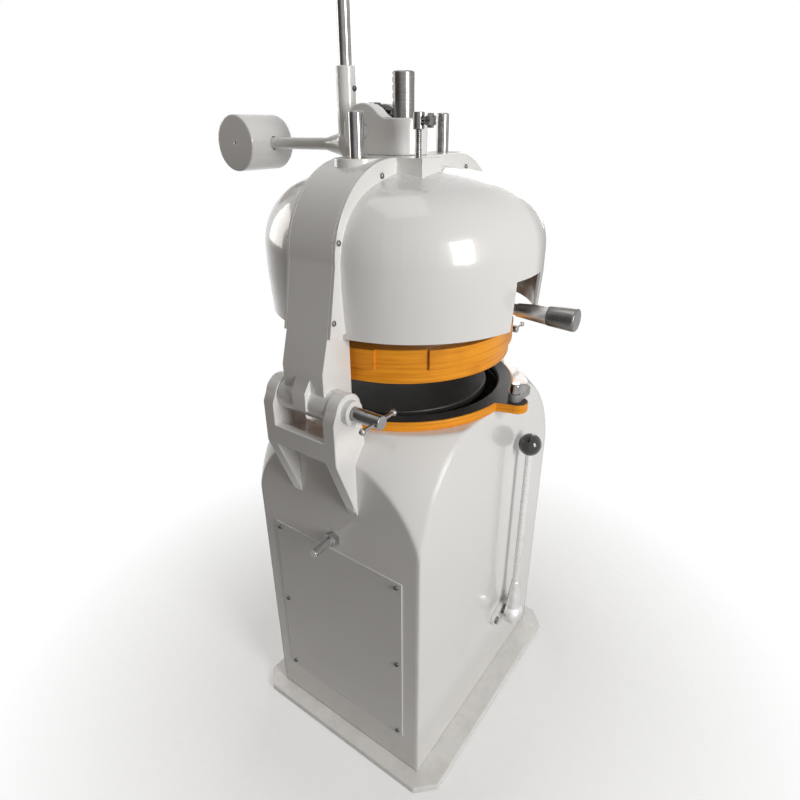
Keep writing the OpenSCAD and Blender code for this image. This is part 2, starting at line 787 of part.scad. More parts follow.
module tension_stud() color([0.8, 0.8, 0.82]) translate([0, body_y, stud_z]) {
    bar_x(stud_r, body_left - stud_out, -mount_x);
}

module power_gland() color([0.2, 0.2, 0.2]) translate([body_x, 0, gland_z]) {
    bar_y(gland_r, body_back - body_wall - groove, body_back + edge);
    translate([0, body_back, 0]) rotate([-90, 0, 0]) cylinder(r = gland_r + groove, h = groove, $fn = 6);
    translate([0, body_back + groove, 0]) rotate([-90, 0, 0])
        cylinder(r1 = gland_r, r2 = gland_r * bell_share, h = gland_l - groove);
}

module lever_flange() color([0.88, 0.88, 0.87]) difference() {
    union() {
        plate_y(body_face - flange_t, body_face) translate([lever_x, lever_z]) {
            circle(lever_hub_r);
            for (side = [-1, 1]) translate([side * flange_bolt_x, 0]) circle(flange_end_r);
            polygon([[-flange_bolt_x, flange_end_r], [0, lever_hub_r], [flange_bolt_x, flange_end_r],
                [flange_bolt_x, -flange_end_r], [0, -lever_hub_r], [-flange_bolt_x, -flange_end_r]]);
        }
        translate([lever_x, 0, lever_z]) bar_y(lever_shaft_r + edge - press_gap, body_face - flange_t,
            body_face + body_wall + groove);
    }
    translate([lever_x, 0, lever_z])
        bar_y(lever_shaft_r + run_gap, body_face - flange_t - overrun, body_face + body_wall + groove + overrun);
    flange_points() bar_y(flange_bolt_r + press_gap, body_face - flange_t - overrun, body_face + overrun);
}

module flange_bolts() color([0.75, 0.75, 0.77]) flange_points() {
    bar_y(flange_bolt_r, body_face - flange_t, body_face + body_wall + edge);
    translate([0, body_face - flange_t - flange_bolt_r, 0]) rotate([-90, 0, 0])
        cylinder(r = flange_bolt_r * 2, h = flange_bolt_r, $fn = 6);
}

module lever_shaft() color([0.7, 0.7, 0.72]) translate([lever_x, 0, lever_z]) {
    bar_y(lever_shaft_r, lever_y - lever_hub_l, body_face + lever_shaft_in);
    plate_y(body_face + lever_shaft_in - flange_t, body_face + lever_shaft_in) {
        circle(lever_hub_r);
        translate([-lever_shaft_r, 0]) square([lever_shaft_r * 2, trip_l]);
        translate([0, trip_l]) circle(lever_shaft_r);
    }
}

module start_switch() color([0.15, 0.15, 0.16]) {
    block([lever_x - trip_l, body_face + lever_shaft_in - flange_t, base_t],
        [lever_x + trip_l, body_face + lever_shaft_in, base_t + groove]);
    for (side = [-1, 1]) translate([lever_x + side * trip_l, 0, 0])
        block([-groove, body_face + lever_shaft_in - flange_t * 2, base_t],
            [groove, body_face + lever_shaft_in + flange_t, lever_z + trip_l]);
}

module rounding_lever() color([0.85, 0.85, 0.86]) translate([lever_x, lever_y, lever_z]) difference() {
    union() {
        bar_y(lever_hub_r, -lever_hub_l, lever_hub_l);
        cylinder(r1 = bell_r, r2 = lever_rod_r + edge, h = bell_l);
        bar_z(lever_rod_r, bell_l - edge, ball_z - lever_z);
    }
    bar_y(lever_shaft_r + press_gap, -lever_hub_l - press_gap, lever_hub_r + overrun);
}

module lever_ball() color([0.1, 0.1, 0.1]) translate([lever_x, lever_y, ball_z]) difference() {
    sphere(ball_r);
    bar_z(lever_rod_r + press_gap, -ball_r - overrun, 0);
    block([-ball_r, -ball_r, -ball_r - overrun], [ball_r, ball_r, edge - ball_r]);
}

// The yoke's outline above the given height, without its knuckle and foot.
module arch_shape(low) {
    difference() {
        union() {
            for (side = [-1, 1]) {
                translate([side * crown_x, arch_z]) circle(arch_r);
                polygon([[0, arch_z], [side * (crown_x + arch_r), arch_z], [side * knee_x, knee_z],
                    [side * ankle_x, ankle_z], [side * ankle_x, foot_z], [0, foot_z]]);
            }
            translate([-crown_x, arch_z]) square([crown_x * 2, arch_r]);
        }
        translate([-ankle_x - overrun, foot_z - overrun]) square([(ankle_x + overrun) * 2, low - foot_z + overrun]);
    }
}

module arch_hole() {
    for (side = [-1, 1]) translate([side * arch_in_x, arch_in_z]) circle(arch_in);
    translate([-arch_in_x, arch_in_z]) square([arch_in_x * 2, arch_in]);
    translate([-leg_in, foot_z - knuckle_r]) square([leg_in * 2, arch_in_z - foot_z + knuckle_r]);
}

module bore_points() { for (side = [-1, 1]) translate([side * post_x, 0, 0]) children(); }

module screw_points() {
    for (side = [-1, 1], at = [[crown_x + chimney_w * half_share, crown_z - crown_t * half_share + edge * 2],
        [dome_r, arch_z + crown_t * bell_share], [knee_x - edge * 5, knee_z + edge * 11]])
        translate([side * at[0], 0, at[1]]) children();
}

module yoke() color([0.9, 0.9, 0.89]) difference() {
    union() {
        plate_y(-yoke_y, yoke_y) difference() {
            arch_shape(foot_z);
            arch_hole();
            translate([-hinge_x - knuckle_r * 2, foot_z - overrun])
                square([hinge_x + knuckle_r * 2 - leg_in + overrun, hinge_z - foot_z + overrun]);
        }
        translate([-hinge_x, 0, hinge_z]) bar_y(knuckle_r, -knuckle_y, knuckle_y);
        translate([hinge_x, 0, 0]) block([-foot_r, -knuckle_y, foot_z],
            [foot_r * half_share, knuckle_y, hinge_z + foot_r * half_share]);
        bore_points() intersection() {
            bar_z(boss_r, crown_low, crown_z);
            block([-boss_r, -yoke_y, crown_low], [boss_r, yoke_y, crown_z]);
        }
        plate_y(-stop_y, stop_y) polygon([[-ankle_x + edge, hinge_z - stop_low], [-ankle_x - stop_out, hinge_z - stop_low],
            [-ankle_x - stop_out, hinge_z + stop_h * half_share], [-ankle_x + edge, hinge_z + stop_h]]);
    }
    bore_points() bar_z(bush_r + press_gap, crown_low - bush_r, crown_z + overrun);
    bar_z(press_r + run_gap, crown_low - overrun, crown_z + overrun);
    translate([-hinge_x, 0, hinge_z]) bar_y(hinge_pin_r + run_gap, -knuckle_y - overrun, knuckle_y + overrun);
    block([-pinion_w / 2 - edge, 0, pinion_z - tip_r - edge], [pinion_w / 2 + edge, yoke_y + overrun, crown_z + overrun]);
    screw_points() bar_y(screw_r + press_gap, -yoke_y - overrun, yoke_y + overrun);
}

module guide_bushes() color([0.72, 0.56, 0.28]) bore_points() difference() {
    bar_z(bush_r, crown_low, crown_z);
    bar_z(post_r + run_gap, crown_low - overrun, crown_z + overrun);
}

// Half section of the domes, or of their inside when inset by the wall.
module dome_section(inset, low) {
    polygon([[0, low], [dome_rim_r - inset, low], [dome_rim_r - inset, dome_z], [dome_r - inset, dome_wide_z],
        [dome_r - inset, dome_arc_z], [dome_arc_x, dome_arc_z], [0, dome_arc_z]]);
    intersection() {
        translate([dome_arc_x, dome_arc_z]) circle(dome_round - inset);
        translate([0, dome_arc_z]) square([dome_r, dome_round]);
    }
    intersection() {
        translate([0, dome_cap_z]) circle(dome_cap_r - inset);
        polygon([[0, dome_arc_z - edge], [dome_arc_x, dome_arc_z - edge], [dome_arc_x, dome_arc_z],
            [dome_arc_x * 2, dome_arc_z * 2 - dome_cap_z], [0, dome_arc_z * 2 - dome_cap_z]]);
    }
}

module front_half(shift) {
    intersection() {
        children();
        block([-dome_r * 2, -dome_r * 2, 0], [dome_r * 2, -shift, crown_z * 2]);
    }
}

module dome_blank() {
    front_half(yoke_y) translate([0, -dome_off, 0]) rotate_extrude() dome_section(0, dome_z);
    plate_y(-yoke_y - dome_flange, -yoke_y) arch_shape(flange_low);
}

module dome_inside() {
    translate([0, -dome_off, 0]) rotate_extrude() dome_section(dome_wall, dome_z - overrun);
    screw_points() bar_y(screw_r + press_gap, -yoke_y - dome_flange - overrun, -yoke_y + overrun);
}

module front_dome() color([0.9, 0.9, 0.89]) difference() {
    union() {
        dome_blank();
        block([-chimney_x - chimney_w / 2, -chimney_y, dome_arc_z + dome_round * half_share],
            [-chimney_x + chimney_w / 2, -yoke_y, crown_z]);
    }
    dome_inside();
    block([-notch_x, -dome_r - dome_off - overrun, dome_z - overrun], [notch_x, -dome_r * half_share, notch_top]);
    translate([-rod_x, -rod_y, 0]) bar_z(rod_r + near_gap, cross_top, crown_z + overrun);
}

module rear_dome() color([0.9, 0.9, 0.89]) mirror([0, 1, 0]) difference() {
    dome_blank();
    dome_inside();
    translate([0, -pinion_y, pinion_z]) bar_x(tip_r + overrun, -pinion_w / 2 - overrun, pinion_w / 2 + overrun);
}

module dome_screws() color([0.75, 0.75, 0.77]) for (side = [0, 1]) mirror([0, side, 0]) screw_points() {
    bar_y(screw_r, -yoke_y - dome_flange, -yoke_y * half_share);
    bar_y(screw_head_r, -yoke_y - dome_flange - screw_head_h, -yoke_y - dome_flange);
}

// Side view of a bracket cheek: the blend up from the low front, then the round.
module cheek_shape() {
    drop = bracket_top + cheek_blend - pinion_z;
    blend_y = pinion_y - sqrt((cheek_r + cheek_blend) * (cheek_r + cheek_blend) - drop * drop);
    difference() {
        union() {
            translate([pinion_y, pinion_z]) circle(cheek_r);
            polygon([[0, crown_z], [0, bracket_top], [blend_y, bracket_top],
                [blend_y, bracket_top + cheek_blend], [pinion_y, pinion_z],
                [pinion_y + cheek_r, pinion_z], [pinion_y + cheek_r * half_share, crown_z]]);
        }
        translate([blend_y, bracket_top + cheek_blend]) circle(cheek_blend);
        translate([0, crown_z - cheek_r]) square([weight_y, cheek_r]);
    }
}

module lever_bracket() color([0.9, 0.9, 0.89]) difference() {
    union() {
        intersection() {
            bar_z(bracket_x, crown_z, bracket_top);
            block([-bracket_x, -bracket_x, crown_z], [bracket_x, edge, bracket_top]);
        }
        for (side = [0, 1]) mirror([side, 0, 0]) plate_x(pinion_w / 2 + edge * half_share, bracket_x)
            cheek_shape();
    }
    bar_z(press_r + run_gap, crown_z - overrun, press_top + overrun);
    block([-pinion_w / 2 - edge * half_share, 0, crown_z - overrun],
        [pinion_w / 2 + edge * half_share, weight_y, press_top]);
    translate([0, pinion_y, pinion_z]) bar_x(axle_r + press_gap, -bracket_x - overrun, bracket_x + overrun);
}

module pinion_axle() color([0.7, 0.7, 0.72]) translate([0, pinion_y, pinion_z]) {
    bar_x(axle_r, -bracket_x, bracket_x);
}

function involute(a) = tan(a) * 180 / PI - a;
function tooth_half(r) = (tooth_p / 2 - backlash) / pitch_r / 2 * 180 / PI
    + involute(pressure) - (r > base_r ? involute(acos(base_r / r)) : 0);
flank = [for (i = [0 : 5]) base_r + (tip_r - base_r) * i / 5];

module tooth() {
    polygon(concat([[0, 0], [root_r * cos(tooth_half(base_r)), -root_r * sin(tooth_half(base_r))]],
        [for (r = flank) [r * cos(tooth_half(r)), -r * sin(tooth_half(r))]],
        [for (i = [5 : -1 : 0]) [flank[i] * cos(tooth_half(flank[i])), flank[i] * sin(tooth_half(flank[i]))]],
        [[root_r * cos(tooth_half(base_r)), root_r * sin(tooth_half(base_r))]]));
}

module pinion() color([0.5, 0.5, 0.52]) translate([0, pinion_y, pinion_z]) difference() {
    plate_x(-pinion_w / 2, 0) rotate(180) union() {
        circle(root_r);
        for (i = [0 : teeth - 1]) rotate(i * 360 / teeth) tooth();
    }
    bar_x(axle_r + run_gap, -pinion_w, pinion_w);
}

module press_lever() color([0.9, 0.9, 0.89]) difference() {
    union() {
        plate_x(0, pinion_w / 2) {
            translate([pinion_y, pinion_z]) circle(web_r);
            translate([socket_y - socket_r * half_share, pinion_z]) circle(web_r);
            polygon([[pinion_y, pinion_z - web_r], [socket_y - socket_r * half_share, pinion_z - web_r],
                [socket_y - socket_r * half_share, pinion_z + web_r], [pinion_y, pinion_z + web_r]]);
        }
        translate([0, socket_y, 0]) bar_z(socket_r, weight_z, socket_top);
        translate([0, socket_y, weight_z]) sphere(socket_r * (1 + third_share));
        translate([0, socket_y, weight_z]) rotate([-90, 0, 0])
            cylinder(r1 = socket_r * (1 + third_share), r2 = arm_r, h = socket_r * 3);
        translate([0, 0, weight_z]) bar_y(arm_r, socket_y, weight_y - weight_r * half_share);
    }
    translate([0, pinion_y, pinion_z]) bar_x(axle_r + run_gap, -pinion_w, pinion_w);
    translate([0, socket_y, 0]) bar_z(hand_r + press_gap, pinion_z + socket_r, socket_top + overrun);
    translate([0, socket_y, socket_top - socket_r * 2])
        bar_y(screw_r + press_gap, -socket_r - overrun, -hand_r * half_share);
}

module lever_screw() color([0.15, 0.15, 0.15]) translate([0, socket_y, socket_top - socket_r * 2]) {
    bar_y(screw_r, -socket_r, -hand_r - press_gap);
    bar_y(screw_head_r, -socket_r - screw_head_h, -socket_r);
}

module counterweight() color([0.9, 0.9, 0.89]) translate([0, weight_y, weight_z]) difference() {
    rotate([0, 90, 0]) rotate_extrude() difference() {
        union() {
            translate([0, -weight_x]) square([weight_r - weight_round, weight_x * 2]);
            translate([0, -weight_x + edge]) square([weight_r, weight_x * 2 - weight_round - edge]);
            polygon([[0, -weight_x], [weight_r - edge, -weight_x], [weight_r, edge - weight_x], [0, edge - weight_x]]);
            intersection() {
                translate([weight_r - weight_round, weight_x - weight_round]) circle(weight_round);
                square([weight_r, weight_x]);
            }
        }
    }
    bar_y(arm_r + press_gap, -weight_r - overrun, -weight_r * half_share);
    bar_x(screw_r, -weight_x - overrun, -weight_x * bell_share);
}

module hand_rod() color([0.8, 0.8, 0.82]) translate([0, socket_y, 0]) {
    bar_z(hand_r, pinion_z + socket_r, hand_top);
}

module hand_grip() color([0.1, 0.1, 0.1]) translate([0, socket_y, 0]) difference() {
    union() {
        bar_z(grip_r, hand_top - grip_l, hand_top);
        translate([0, 0, hand_top]) cylinder(r1 = grip_r, r2 = hand_r, h = edge * 3);
    }
    bar_z(hand_r + press_gap, hand_top - grip_l - overrun, hand_top);
}

module press_shaft() color([0.75, 0.75, 0.77]) difference() {
    union() {
        bar_z(press_r, cross_z, press_top - edge);
        translate([0, 0, press_top - edge]) cylinder(r1 = press_r, r2 = press_r - edge, h = edge);
    }
    block([-press_r, rack_y + tooth_m * tooth_tip_share, pinion_z - tooth_p * 3],
        [press_r, press_r + overrun, press_top + overrun]);
    plate_x(-press_r - overrun, press_r + overrun) for (i = [-2 : 7]) translate([rack_y, pinion_z + i * tooth_p])
        polygon([for (at = [[-tooth_m * tooth_root_share, -1], [tooth_m * 2, -1], [tooth_m * 2, 1],
            [-tooth_m * tooth_root_share, 1]]) [at[0], at[1] * (tooth_p / 4 + at[0] * tan(pressure))]]);
}

module crosshead() color([0.6, 0.62, 0.64]) difference() {
    union() {
        block([-cross_x, -cross_y, cross_z], [cross_x, cross_y, cross_top]);
        bar_z(head_hub_r, cross_z, cross_top + edge);
        translate([0, 0, cross_z]) linear_extrude(cross_t) {
            translate([-rod_x, -rod_y]) circle(rod_r * 3);
            translate([-rod_x - rod_r * 3, -rod_y]) square([rod_r * 6, rod_y]);
        }
    }
    bar_z(press_r + press_gap, cross_z - overrun, cross_top + edge + overrun);
    bore_points() bar_z(post_r + press_gap, cross_z - overrun, cross_top + overrun);
    translate([-rod_x, -rod_y, 0]) bar_z(rod_r + press_gap, cross_z - overrun, cross_top + overrun);
}

module guide_posts() color([0.8, 0.8, 0.82]) bore_points() {
    bar_z(post_r, cross_z, post_top - edge);
    translate([0, 0, post_top - edge]) cylinder(r1 = post_r, r2 = post_r - edge, h = edge);
}

module stop_rod() color([0.5, 0.5, 0.52]) translate([-rod_x, -rod_y, 0]) { bar_z(rod_r, cross_z, rod_top); }

// Pad pattern: three rows of pads parted by round and straight blades.
module blade_lines(t) {
    for (i = [1, 2]) difference() {
        circle(knife_r * row_shares[i] + t / 2);
        circle(knife_r * row_shares[i] - t / 2);
    }
    for (i = [0, 1, 2], k = [0 : rows[i] - 1]) rotate(k * 360 / rows[i])
        translate([knife_r * row_shares[i] - (i > 0 ? 0 : t / 2), -t / 2])
            square([knife_r * (row_shares[i + 1] - row_shares[i]) + (i > 0 ? 0 : t / 2), t]);
}

module pad_points() {
    for (i = [0, 1, 2], k = [0 : rows[i] - 1]) rotate((k + half_share) * 360 / rows[i])
        translate([knife_r * (row_shares[i] + row_shares[i + 1]) / 2 * (i > 0 ? 1 : 1 + third_share * half_share), 0])
            children();
}

module head_plate() color([0.62, 0.64, 0.66]) difference() {
    union() {
        bar_z(head_r - run_gap, head_z, head_z + head_t);
        bar_z(head_hub_r, head_z, cross_z);
    }
    translate([0, 0, head_z - overrun]) linear_extrude(head_t + overrun * 2) pad_points() circle(stem_r + run_gap);
}

module knife_star() color([0.72, 0.72, 0.74]) translate([0, 0, head_z - blade_h]) linear_extrude(blade_h) {
    blade_lines(blade_t);
    difference() {
        circle(knife_r);
        circle(knife_r - blade_t);
    }
}

module press_plate() color([0.75, 0.75, 0.76]) {
    translate([0, 0, pad_z]) linear_extrude(pad_t) difference() {
        circle(knife_r - blade_t - blade_gap);
        blade_lines(blade_t + blade_gap * 2);
    }
    translate([0, 0, pad_z + pad_t]) linear_extrude(spider_z - pad_z - pad_t) pad_points() circle(stem_r);
    translate([0, 0, spider_z]) linear_extrude(spider_t) difference() {
        circle(spider_r);
        circle(head_hub_r + groove);
    }
}

module cam_ring() color([0.85, 0.5, 0.14]) {
    rotate(band_starts[0] - band_gap) rotate_extrude() polygon([[head_r, cam_z], [cam_r - edge, cam_z],
        [cam_r, cam_z + edge], [cam_r, cam_top],
        [lip_r, cam_top], [lip_r, head_z + head_t + near_gap], [head_r, head_z + head_t + near_gap]]);
    for (start = band_starts) rotate(start) rotate_extrude(angle = band_angle)
        polygon([[cam_r - edge, band_z], [cam_band_r, band_z], [cam_band_r, cam_top], [cam_r - edge, cam_top]]);
}

module handle_bracket() color([0.85, 0.86, 0.86]) difference() {
    union() {
        intersection() {
            block([-neck_r * 3, -cam_r, cam_top], [neck_r * 3, -lip_r, cam_top + groove]);
            bar_z(cam_r, cam_top, cam_top + groove);
        }
        plate_y(-lip_r - neck_r * 2, -lip_r - edge) {
            translate([-neck_r * 2, cam_top]) square([neck_r * 4, handle_z - cam_top]);
            translate([0, handle_z]) circle(neck_r * 2);
        }
    }
    translate([0, 0, handle_z]) bar_y(neck_r + press_gap, -cam_r, -lip_r + overrun);
}

module handle_stem() color([0.8, 0.8, 0.82]) translate([0, 0, handle_z]) {
    bar_y(neck_r, -dome_r, -lip_r - edge);
    translate([0, -dome_r, 0]) rotate([90, 0, 0])
        cylinder(r1 = neck_r + edge, r2 = handle_r * rim_share, h = handle_sleeve - dome_r);
    bar_y(neck_r, -handle_end + handle_r, -dome_r);
}

module handle_sleeve() color([0.55, 0.55, 0.57]) translate([0, 0, handle_z]) difference() {
    union() {
        bar_y(handle_r, -handle_end + edge * 3, -handle_sleeve);
        translate([0, -handle_end, 0]) rotate([-90, 0, 0])
            cylinder(r1 = handle_r - edge * 3, r2 = handle_r, h = edge * 3);
    }
    bar_y(neck_r + press_gap, -handle_end + handle_r, -handle_sleeve + overrun);
}

module stop_sleeve() color([0.8, 0.8, 0.8]) translate([-rod_x, -rod_y, 0]) difference() {
    bar_z(sleeve_r, sleeve_z, sleeve_z + sleeve_h);
    bar_z(rod_r + run_gap, sleeve_z - overrun, rod_top + near_gap);
    translate([0, 0, sleeve_z + sleeve_h / 2]) bar_y(screw_r + run_gap, -sleeve_r - overrun, 0);
}

module thumb_screw() color([0.15, 0.15, 0.16]) translate([-rod_x, -rod_y, sleeve_z + sleeve_h / 2]) {
    bar_y(screw_r, -thumb_out + edge, -rod_r - near_gap);
    bar_y(thumb_r, -thumb_out, -thumb_out + thumb_l);
}

base_plate();
body_casing();
side_panel();
panel_screws();
hinge_bracket();
pin_bushes();
rest_bracket();
table_ring();
catch_bolt();
bearing_column();
drive_bolts();
shaft_bearings();
motor_mount();
motor();
drive_belt();
tension_nut();
tension_stud();
lever_flange();
flange_bolts();
start_switch();
power_gland();
eccentric_shaft();
driven_pulley();
plate_carrier();
moulding_plate();
motor_pulley();
lever_shaft();
rounding_lever();
lever_ball();
yoke();
front_dome();
rear_dome();
dome_screws();
guide_bushes();
lever_bracket();
pinion_axle();
pinion();
press_lever();
counterweight();
hand_rod();
hand_grip();
lever_screw();
press_shaft();
crosshead();
guide_posts();
head_plate();
knife_star();
stop_rod();
press_plate();
cam_ring();
handle_bracket();
handle_stem();
handle_sleeve();
stop_sleeve();
thumb_screw();
hinge_pin();
hinge_bar();
clamp_screw();
clamp_bar();
plate_catch();
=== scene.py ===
# %% [markdown]
# # Dressing a divider rounder
# A divider rounder cuts a slab of dough into thirty pieces and rolls each one into a ball. Its exact
# solids come from the part's own file and stay where they are. This lesson gives them edges,
# finishes and the small turned pieces that a plain solid lacks, then lights them and puts the
# camera where the photograph was taken.

# %% Load the solids
import json
import math

import bmesh
import bpy
from mathutils import Euler, Matrix, Vector

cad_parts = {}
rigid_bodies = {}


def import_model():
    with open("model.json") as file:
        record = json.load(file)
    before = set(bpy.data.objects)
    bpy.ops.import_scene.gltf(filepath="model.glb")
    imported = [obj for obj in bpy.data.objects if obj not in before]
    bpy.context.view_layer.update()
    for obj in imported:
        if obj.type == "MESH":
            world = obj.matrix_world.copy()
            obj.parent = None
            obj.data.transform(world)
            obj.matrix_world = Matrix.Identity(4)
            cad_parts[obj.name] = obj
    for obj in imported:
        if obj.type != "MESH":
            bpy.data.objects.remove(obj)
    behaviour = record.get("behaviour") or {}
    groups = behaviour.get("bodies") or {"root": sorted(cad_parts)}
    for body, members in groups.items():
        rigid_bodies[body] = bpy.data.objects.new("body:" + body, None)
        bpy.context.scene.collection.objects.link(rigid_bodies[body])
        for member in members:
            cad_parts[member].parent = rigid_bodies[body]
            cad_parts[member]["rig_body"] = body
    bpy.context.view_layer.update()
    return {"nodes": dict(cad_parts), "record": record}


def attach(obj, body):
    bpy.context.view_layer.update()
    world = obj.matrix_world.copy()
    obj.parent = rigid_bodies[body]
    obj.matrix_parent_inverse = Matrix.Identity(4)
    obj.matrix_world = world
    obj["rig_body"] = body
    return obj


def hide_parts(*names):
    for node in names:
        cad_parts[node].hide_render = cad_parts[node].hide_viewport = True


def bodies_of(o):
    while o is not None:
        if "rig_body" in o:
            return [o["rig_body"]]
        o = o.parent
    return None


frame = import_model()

nodes = frame["nodes"]
slot_of = {row["node"]: row["material_slot"] for row in frame["record"]["subparts"]}
body_of = {name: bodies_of(obj)[0] for name, obj in nodes.items()}

# %% [markdown]
# ## Camera
# The picture was taken standing at the hinge side of the machine, a little above the dome, with a
# wide lens. The place, the turn and the lens were solved from straight edges and rings of known
# size, so the camera is set to those numbers instead of being moved by eye. The shift is the small
# offset of the picture's middle.

# %% Set up the camera
CAMERA_PLACE = (-0.9303, -0.6647, 1.3381)
CAMERA_TILT, CAMERA_HEADING, CAMERA_ROLL = (math.radians(v) for v in (64.51, -54.04, -0.28))
LENS, SENSOR, NEAREST = 25.5, 36, 0.05
SHIFT_X, SHIFT_Y = -0.0006, -0.0049

bpy.ops.object.camera_add(location=CAMERA_PLACE)
camera = bpy.context.object
camera.name = "standing_view"
upright = Euler((CAMERA_TILT, 0, CAMERA_HEADING)).to_matrix()
camera.rotation_euler = (upright @ Matrix.Rotation(CAMERA_ROLL, 3, "Z")).to_euler()
camera.data.lens, camera.data.sensor_width = LENS, SENSOR
camera.data.shift_x, camera.data.shift_y = SHIFT_X, SHIFT_Y
camera.data.clip_start = NEAREST
bpy.context.scene.camera = camera
print("camera at", tuple(round(v, 3) for v in camera.location), "lens", camera.data.lens)

# %% [markdown]
# ## Node helpers
# A material is a small network of nodes. Adding each node by hand takes three or four lines, so one
# helper adds a node, sets its options and joins its inputs. A value that is a socket is linked, and
# anything else is typed into the input. Four short helpers add the nodes that are used most.


# %% Helpers that add nodes
def put(tree, kind, inputs=None, **options):
    made = tree.nodes.new(kind)
    for key, value in options.items():
        setattr(made, key, value)
    for key, value in (inputs or {}).items():
        if isinstance(value, bpy.types.NodeSocket):
            tree.links.new(value, made.inputs[key])
        else:
            made.inputs[key].default_value = value
    return made


def ramp(tree, value, low, high, to_low=0.0, to_high=1.0):
    ends = {"From Min": low, "From Max": high, "To Min": to_low, "To Max": to_high}
    return put(tree, "ShaderNodeMapRange", {"Value": value, **ends}).outputs["Result"]


def maths(tree, operation, a, b):
    return put(tree, "ShaderNodeMath", {0: a, 1: b}, operation=operation).outputs[0]


def mixed(tree, factor, a, b, how="MIX"):
    sockets = {0: factor, 6: a, 7: b}
    return put(tree, "ShaderNodeMix", sockets, data_type="RGBA", blend_type=how).outputs[2]


def noise(tree, place, scale, detail=3.0, rough=0.5):
    sockets = {"Vector": place, "Scale": scale, "Detail": detail, "Roughness": rough}
    return put(tree, "ShaderNodeTexNoise", sockets).outputs["Fac"]


print("node helpers ready")

# %% [markdown]
# ## Surround
# The machine stood in a workshop with tall windows and was then cut out on white. A ray from the
# camera that misses it meets plain white. A ray that lights it meets a much dimmer, warmer surround,
# so that the white background does not wash out the white paint. A mirrored ray meets a white room
# with two dark walls, because bright metal only looks like metal with something dark to mirror.

# %% Surround
WARM_LIGHT, WARM_STRENGTH = (1.0, 0.92, 0.83, 1), 0.125
PLAIN_WHITE = (1, 1, 1, 1)
# Each wall has its direction, how near to it the dark begins and is full, and the light left there.
DARK_WALLS = [((-0.68, 0.73, 0), 0.45, 0.88, 0.16), ((0.99, 0.14, 0), 0.88, 0.96, 0.35)]

world = bpy.data.worlds.new("white_surround")
bpy.context.scene.world = world
world.use_nodes = True
tree = world.node_tree
tree.nodes.clear()
path = put(tree, "ShaderNodeLightPath").outputs
toward = put(tree, "ShaderNodeTexCoord").outputs["Generated"]
walls = 1.0
for way, begins, full, left in DARK_WALLS:
    near = put(tree, "ShaderNodeVectorMath", {0: toward, 1: way}, operation="DOT_PRODUCT").outputs["Value"]
    walls = maths(tree, "MULTIPLY", ramp(tree, near, begins, full, 1.0, left), walls)
seen = maths(tree, "MAXIMUM", path["Is Camera Ray"], path["Is Transmission Ray"])
dim = put(tree, "ShaderNodeBackground", {"Color": WARM_LIGHT, "Strength": WARM_STRENGTH})
white = put(tree, "ShaderNodeBackground", {"Color": PLAIN_WHITE, "Strength": 1.0})
room = put(tree, "ShaderNodeBackground", {"Color": PLAIN_WHITE, "Strength": walls})
lit = put(tree, "ShaderNodeMixShader", {0: path["Is Glossy Ray"], 1: dim.outputs[0], 2: room.outputs[0]})
both = put(tree, "ShaderNodeMixShader", {0: seen, 1: lit.outputs[0], 2: white.outputs[0]})
put(tree, "ShaderNodeOutputWorld", {"Surface": both.outputs[0]})
bpy.context.scene.view_settings.view_transform = "Standard"
print("surround with", len(DARK_WALLS), "dark walls")

# %% [markdown]
# ## Floor
# The floor only has to catch the machine's soft shadow. A wide disc would show its edge against the
# white surround, so its finish turns clear a little way from the base. The shadow then fades out
# instead of being cut off.

# %% Floor
FLOOR_R = 4.5
FLOOR_LIGHT, FLOOR_DARK = (0.84, 0.835, 0.825, 1), (0.80, 0.795, 0.785, 1)
FADE_FROM, FADE_TO = 0.42, 1.05
CLEAR_AT_BASE = 0.35
SPECK_SCALE, MATT = 40.0, 0.7

bpy.ops.object.select_all(action="DESELECT")
bpy.ops.mesh.primitive_circle_add(vertices=64, radius=FLOOR_R, fill_type="NGON", location=(0, 0, 0))
floor = bpy.context.object
floor.name = "pale_floor"
floor_finish = bpy.data.materials.new("pale_floor")
floor_finish.use_nodes = True
tree = floor_finish.node_tree
tree.nodes.clear()
place = put(tree, "ShaderNodeTexCoord").outputs["Object"]
away = put(tree, "ShaderNodeVectorMath", {0: place}, operation="LENGTH").outputs["Value"]
tint = mixed(tree, noise(tree, place, SPECK_SCALE), FLOOR_DARK, FLOOR_LIGHT)
matt = put(tree, "ShaderNodeBsdfPrincipled", {"Base Color": tint, "Roughness": MATT})
clear = put(tree, "ShaderNodeBsdfTransparent")
fade = ramp(tree, away, FADE_FROM, FADE_TO, CLEAR_AT_BASE, 1.0)
both = put(tree, "ShaderNodeMixShader", {0: fade, 1: matt.outputs[0], 2: clear.outputs[0]})
put(tree, "ShaderNodeOutputMaterial", {"Surface": both.outputs[0]})
floor.data.materials.append(floor_finish)
print("floor radius", round(max(floor.dimensions) / 2, 2))

# %% [markdown]
# ## Lamps
# One tall window in front gives the machine its bright front, its darker hinge side and the
# highlight on the dome. An area lamp has the size of such a window, so its shadows are soft. Two
# weak lamps at the right and behind keep the far sides readable, and a last one hangs above.


# %% Lamps
def lamp(name, place, aim, width, height, power, colour):
    bpy.ops.object.light_add(type="AREA", location=place)
    made = bpy.context.object
    made.name = name
    made.rotation_euler = (Vector(aim) - Vector(place)).to_track_quat("-Z", "Y").to_euler()
    made.data.shape = "RECTANGLE"
    made.data.size, made.data.size_y = width, height
    made.data.energy = power
    made.data.color = colour


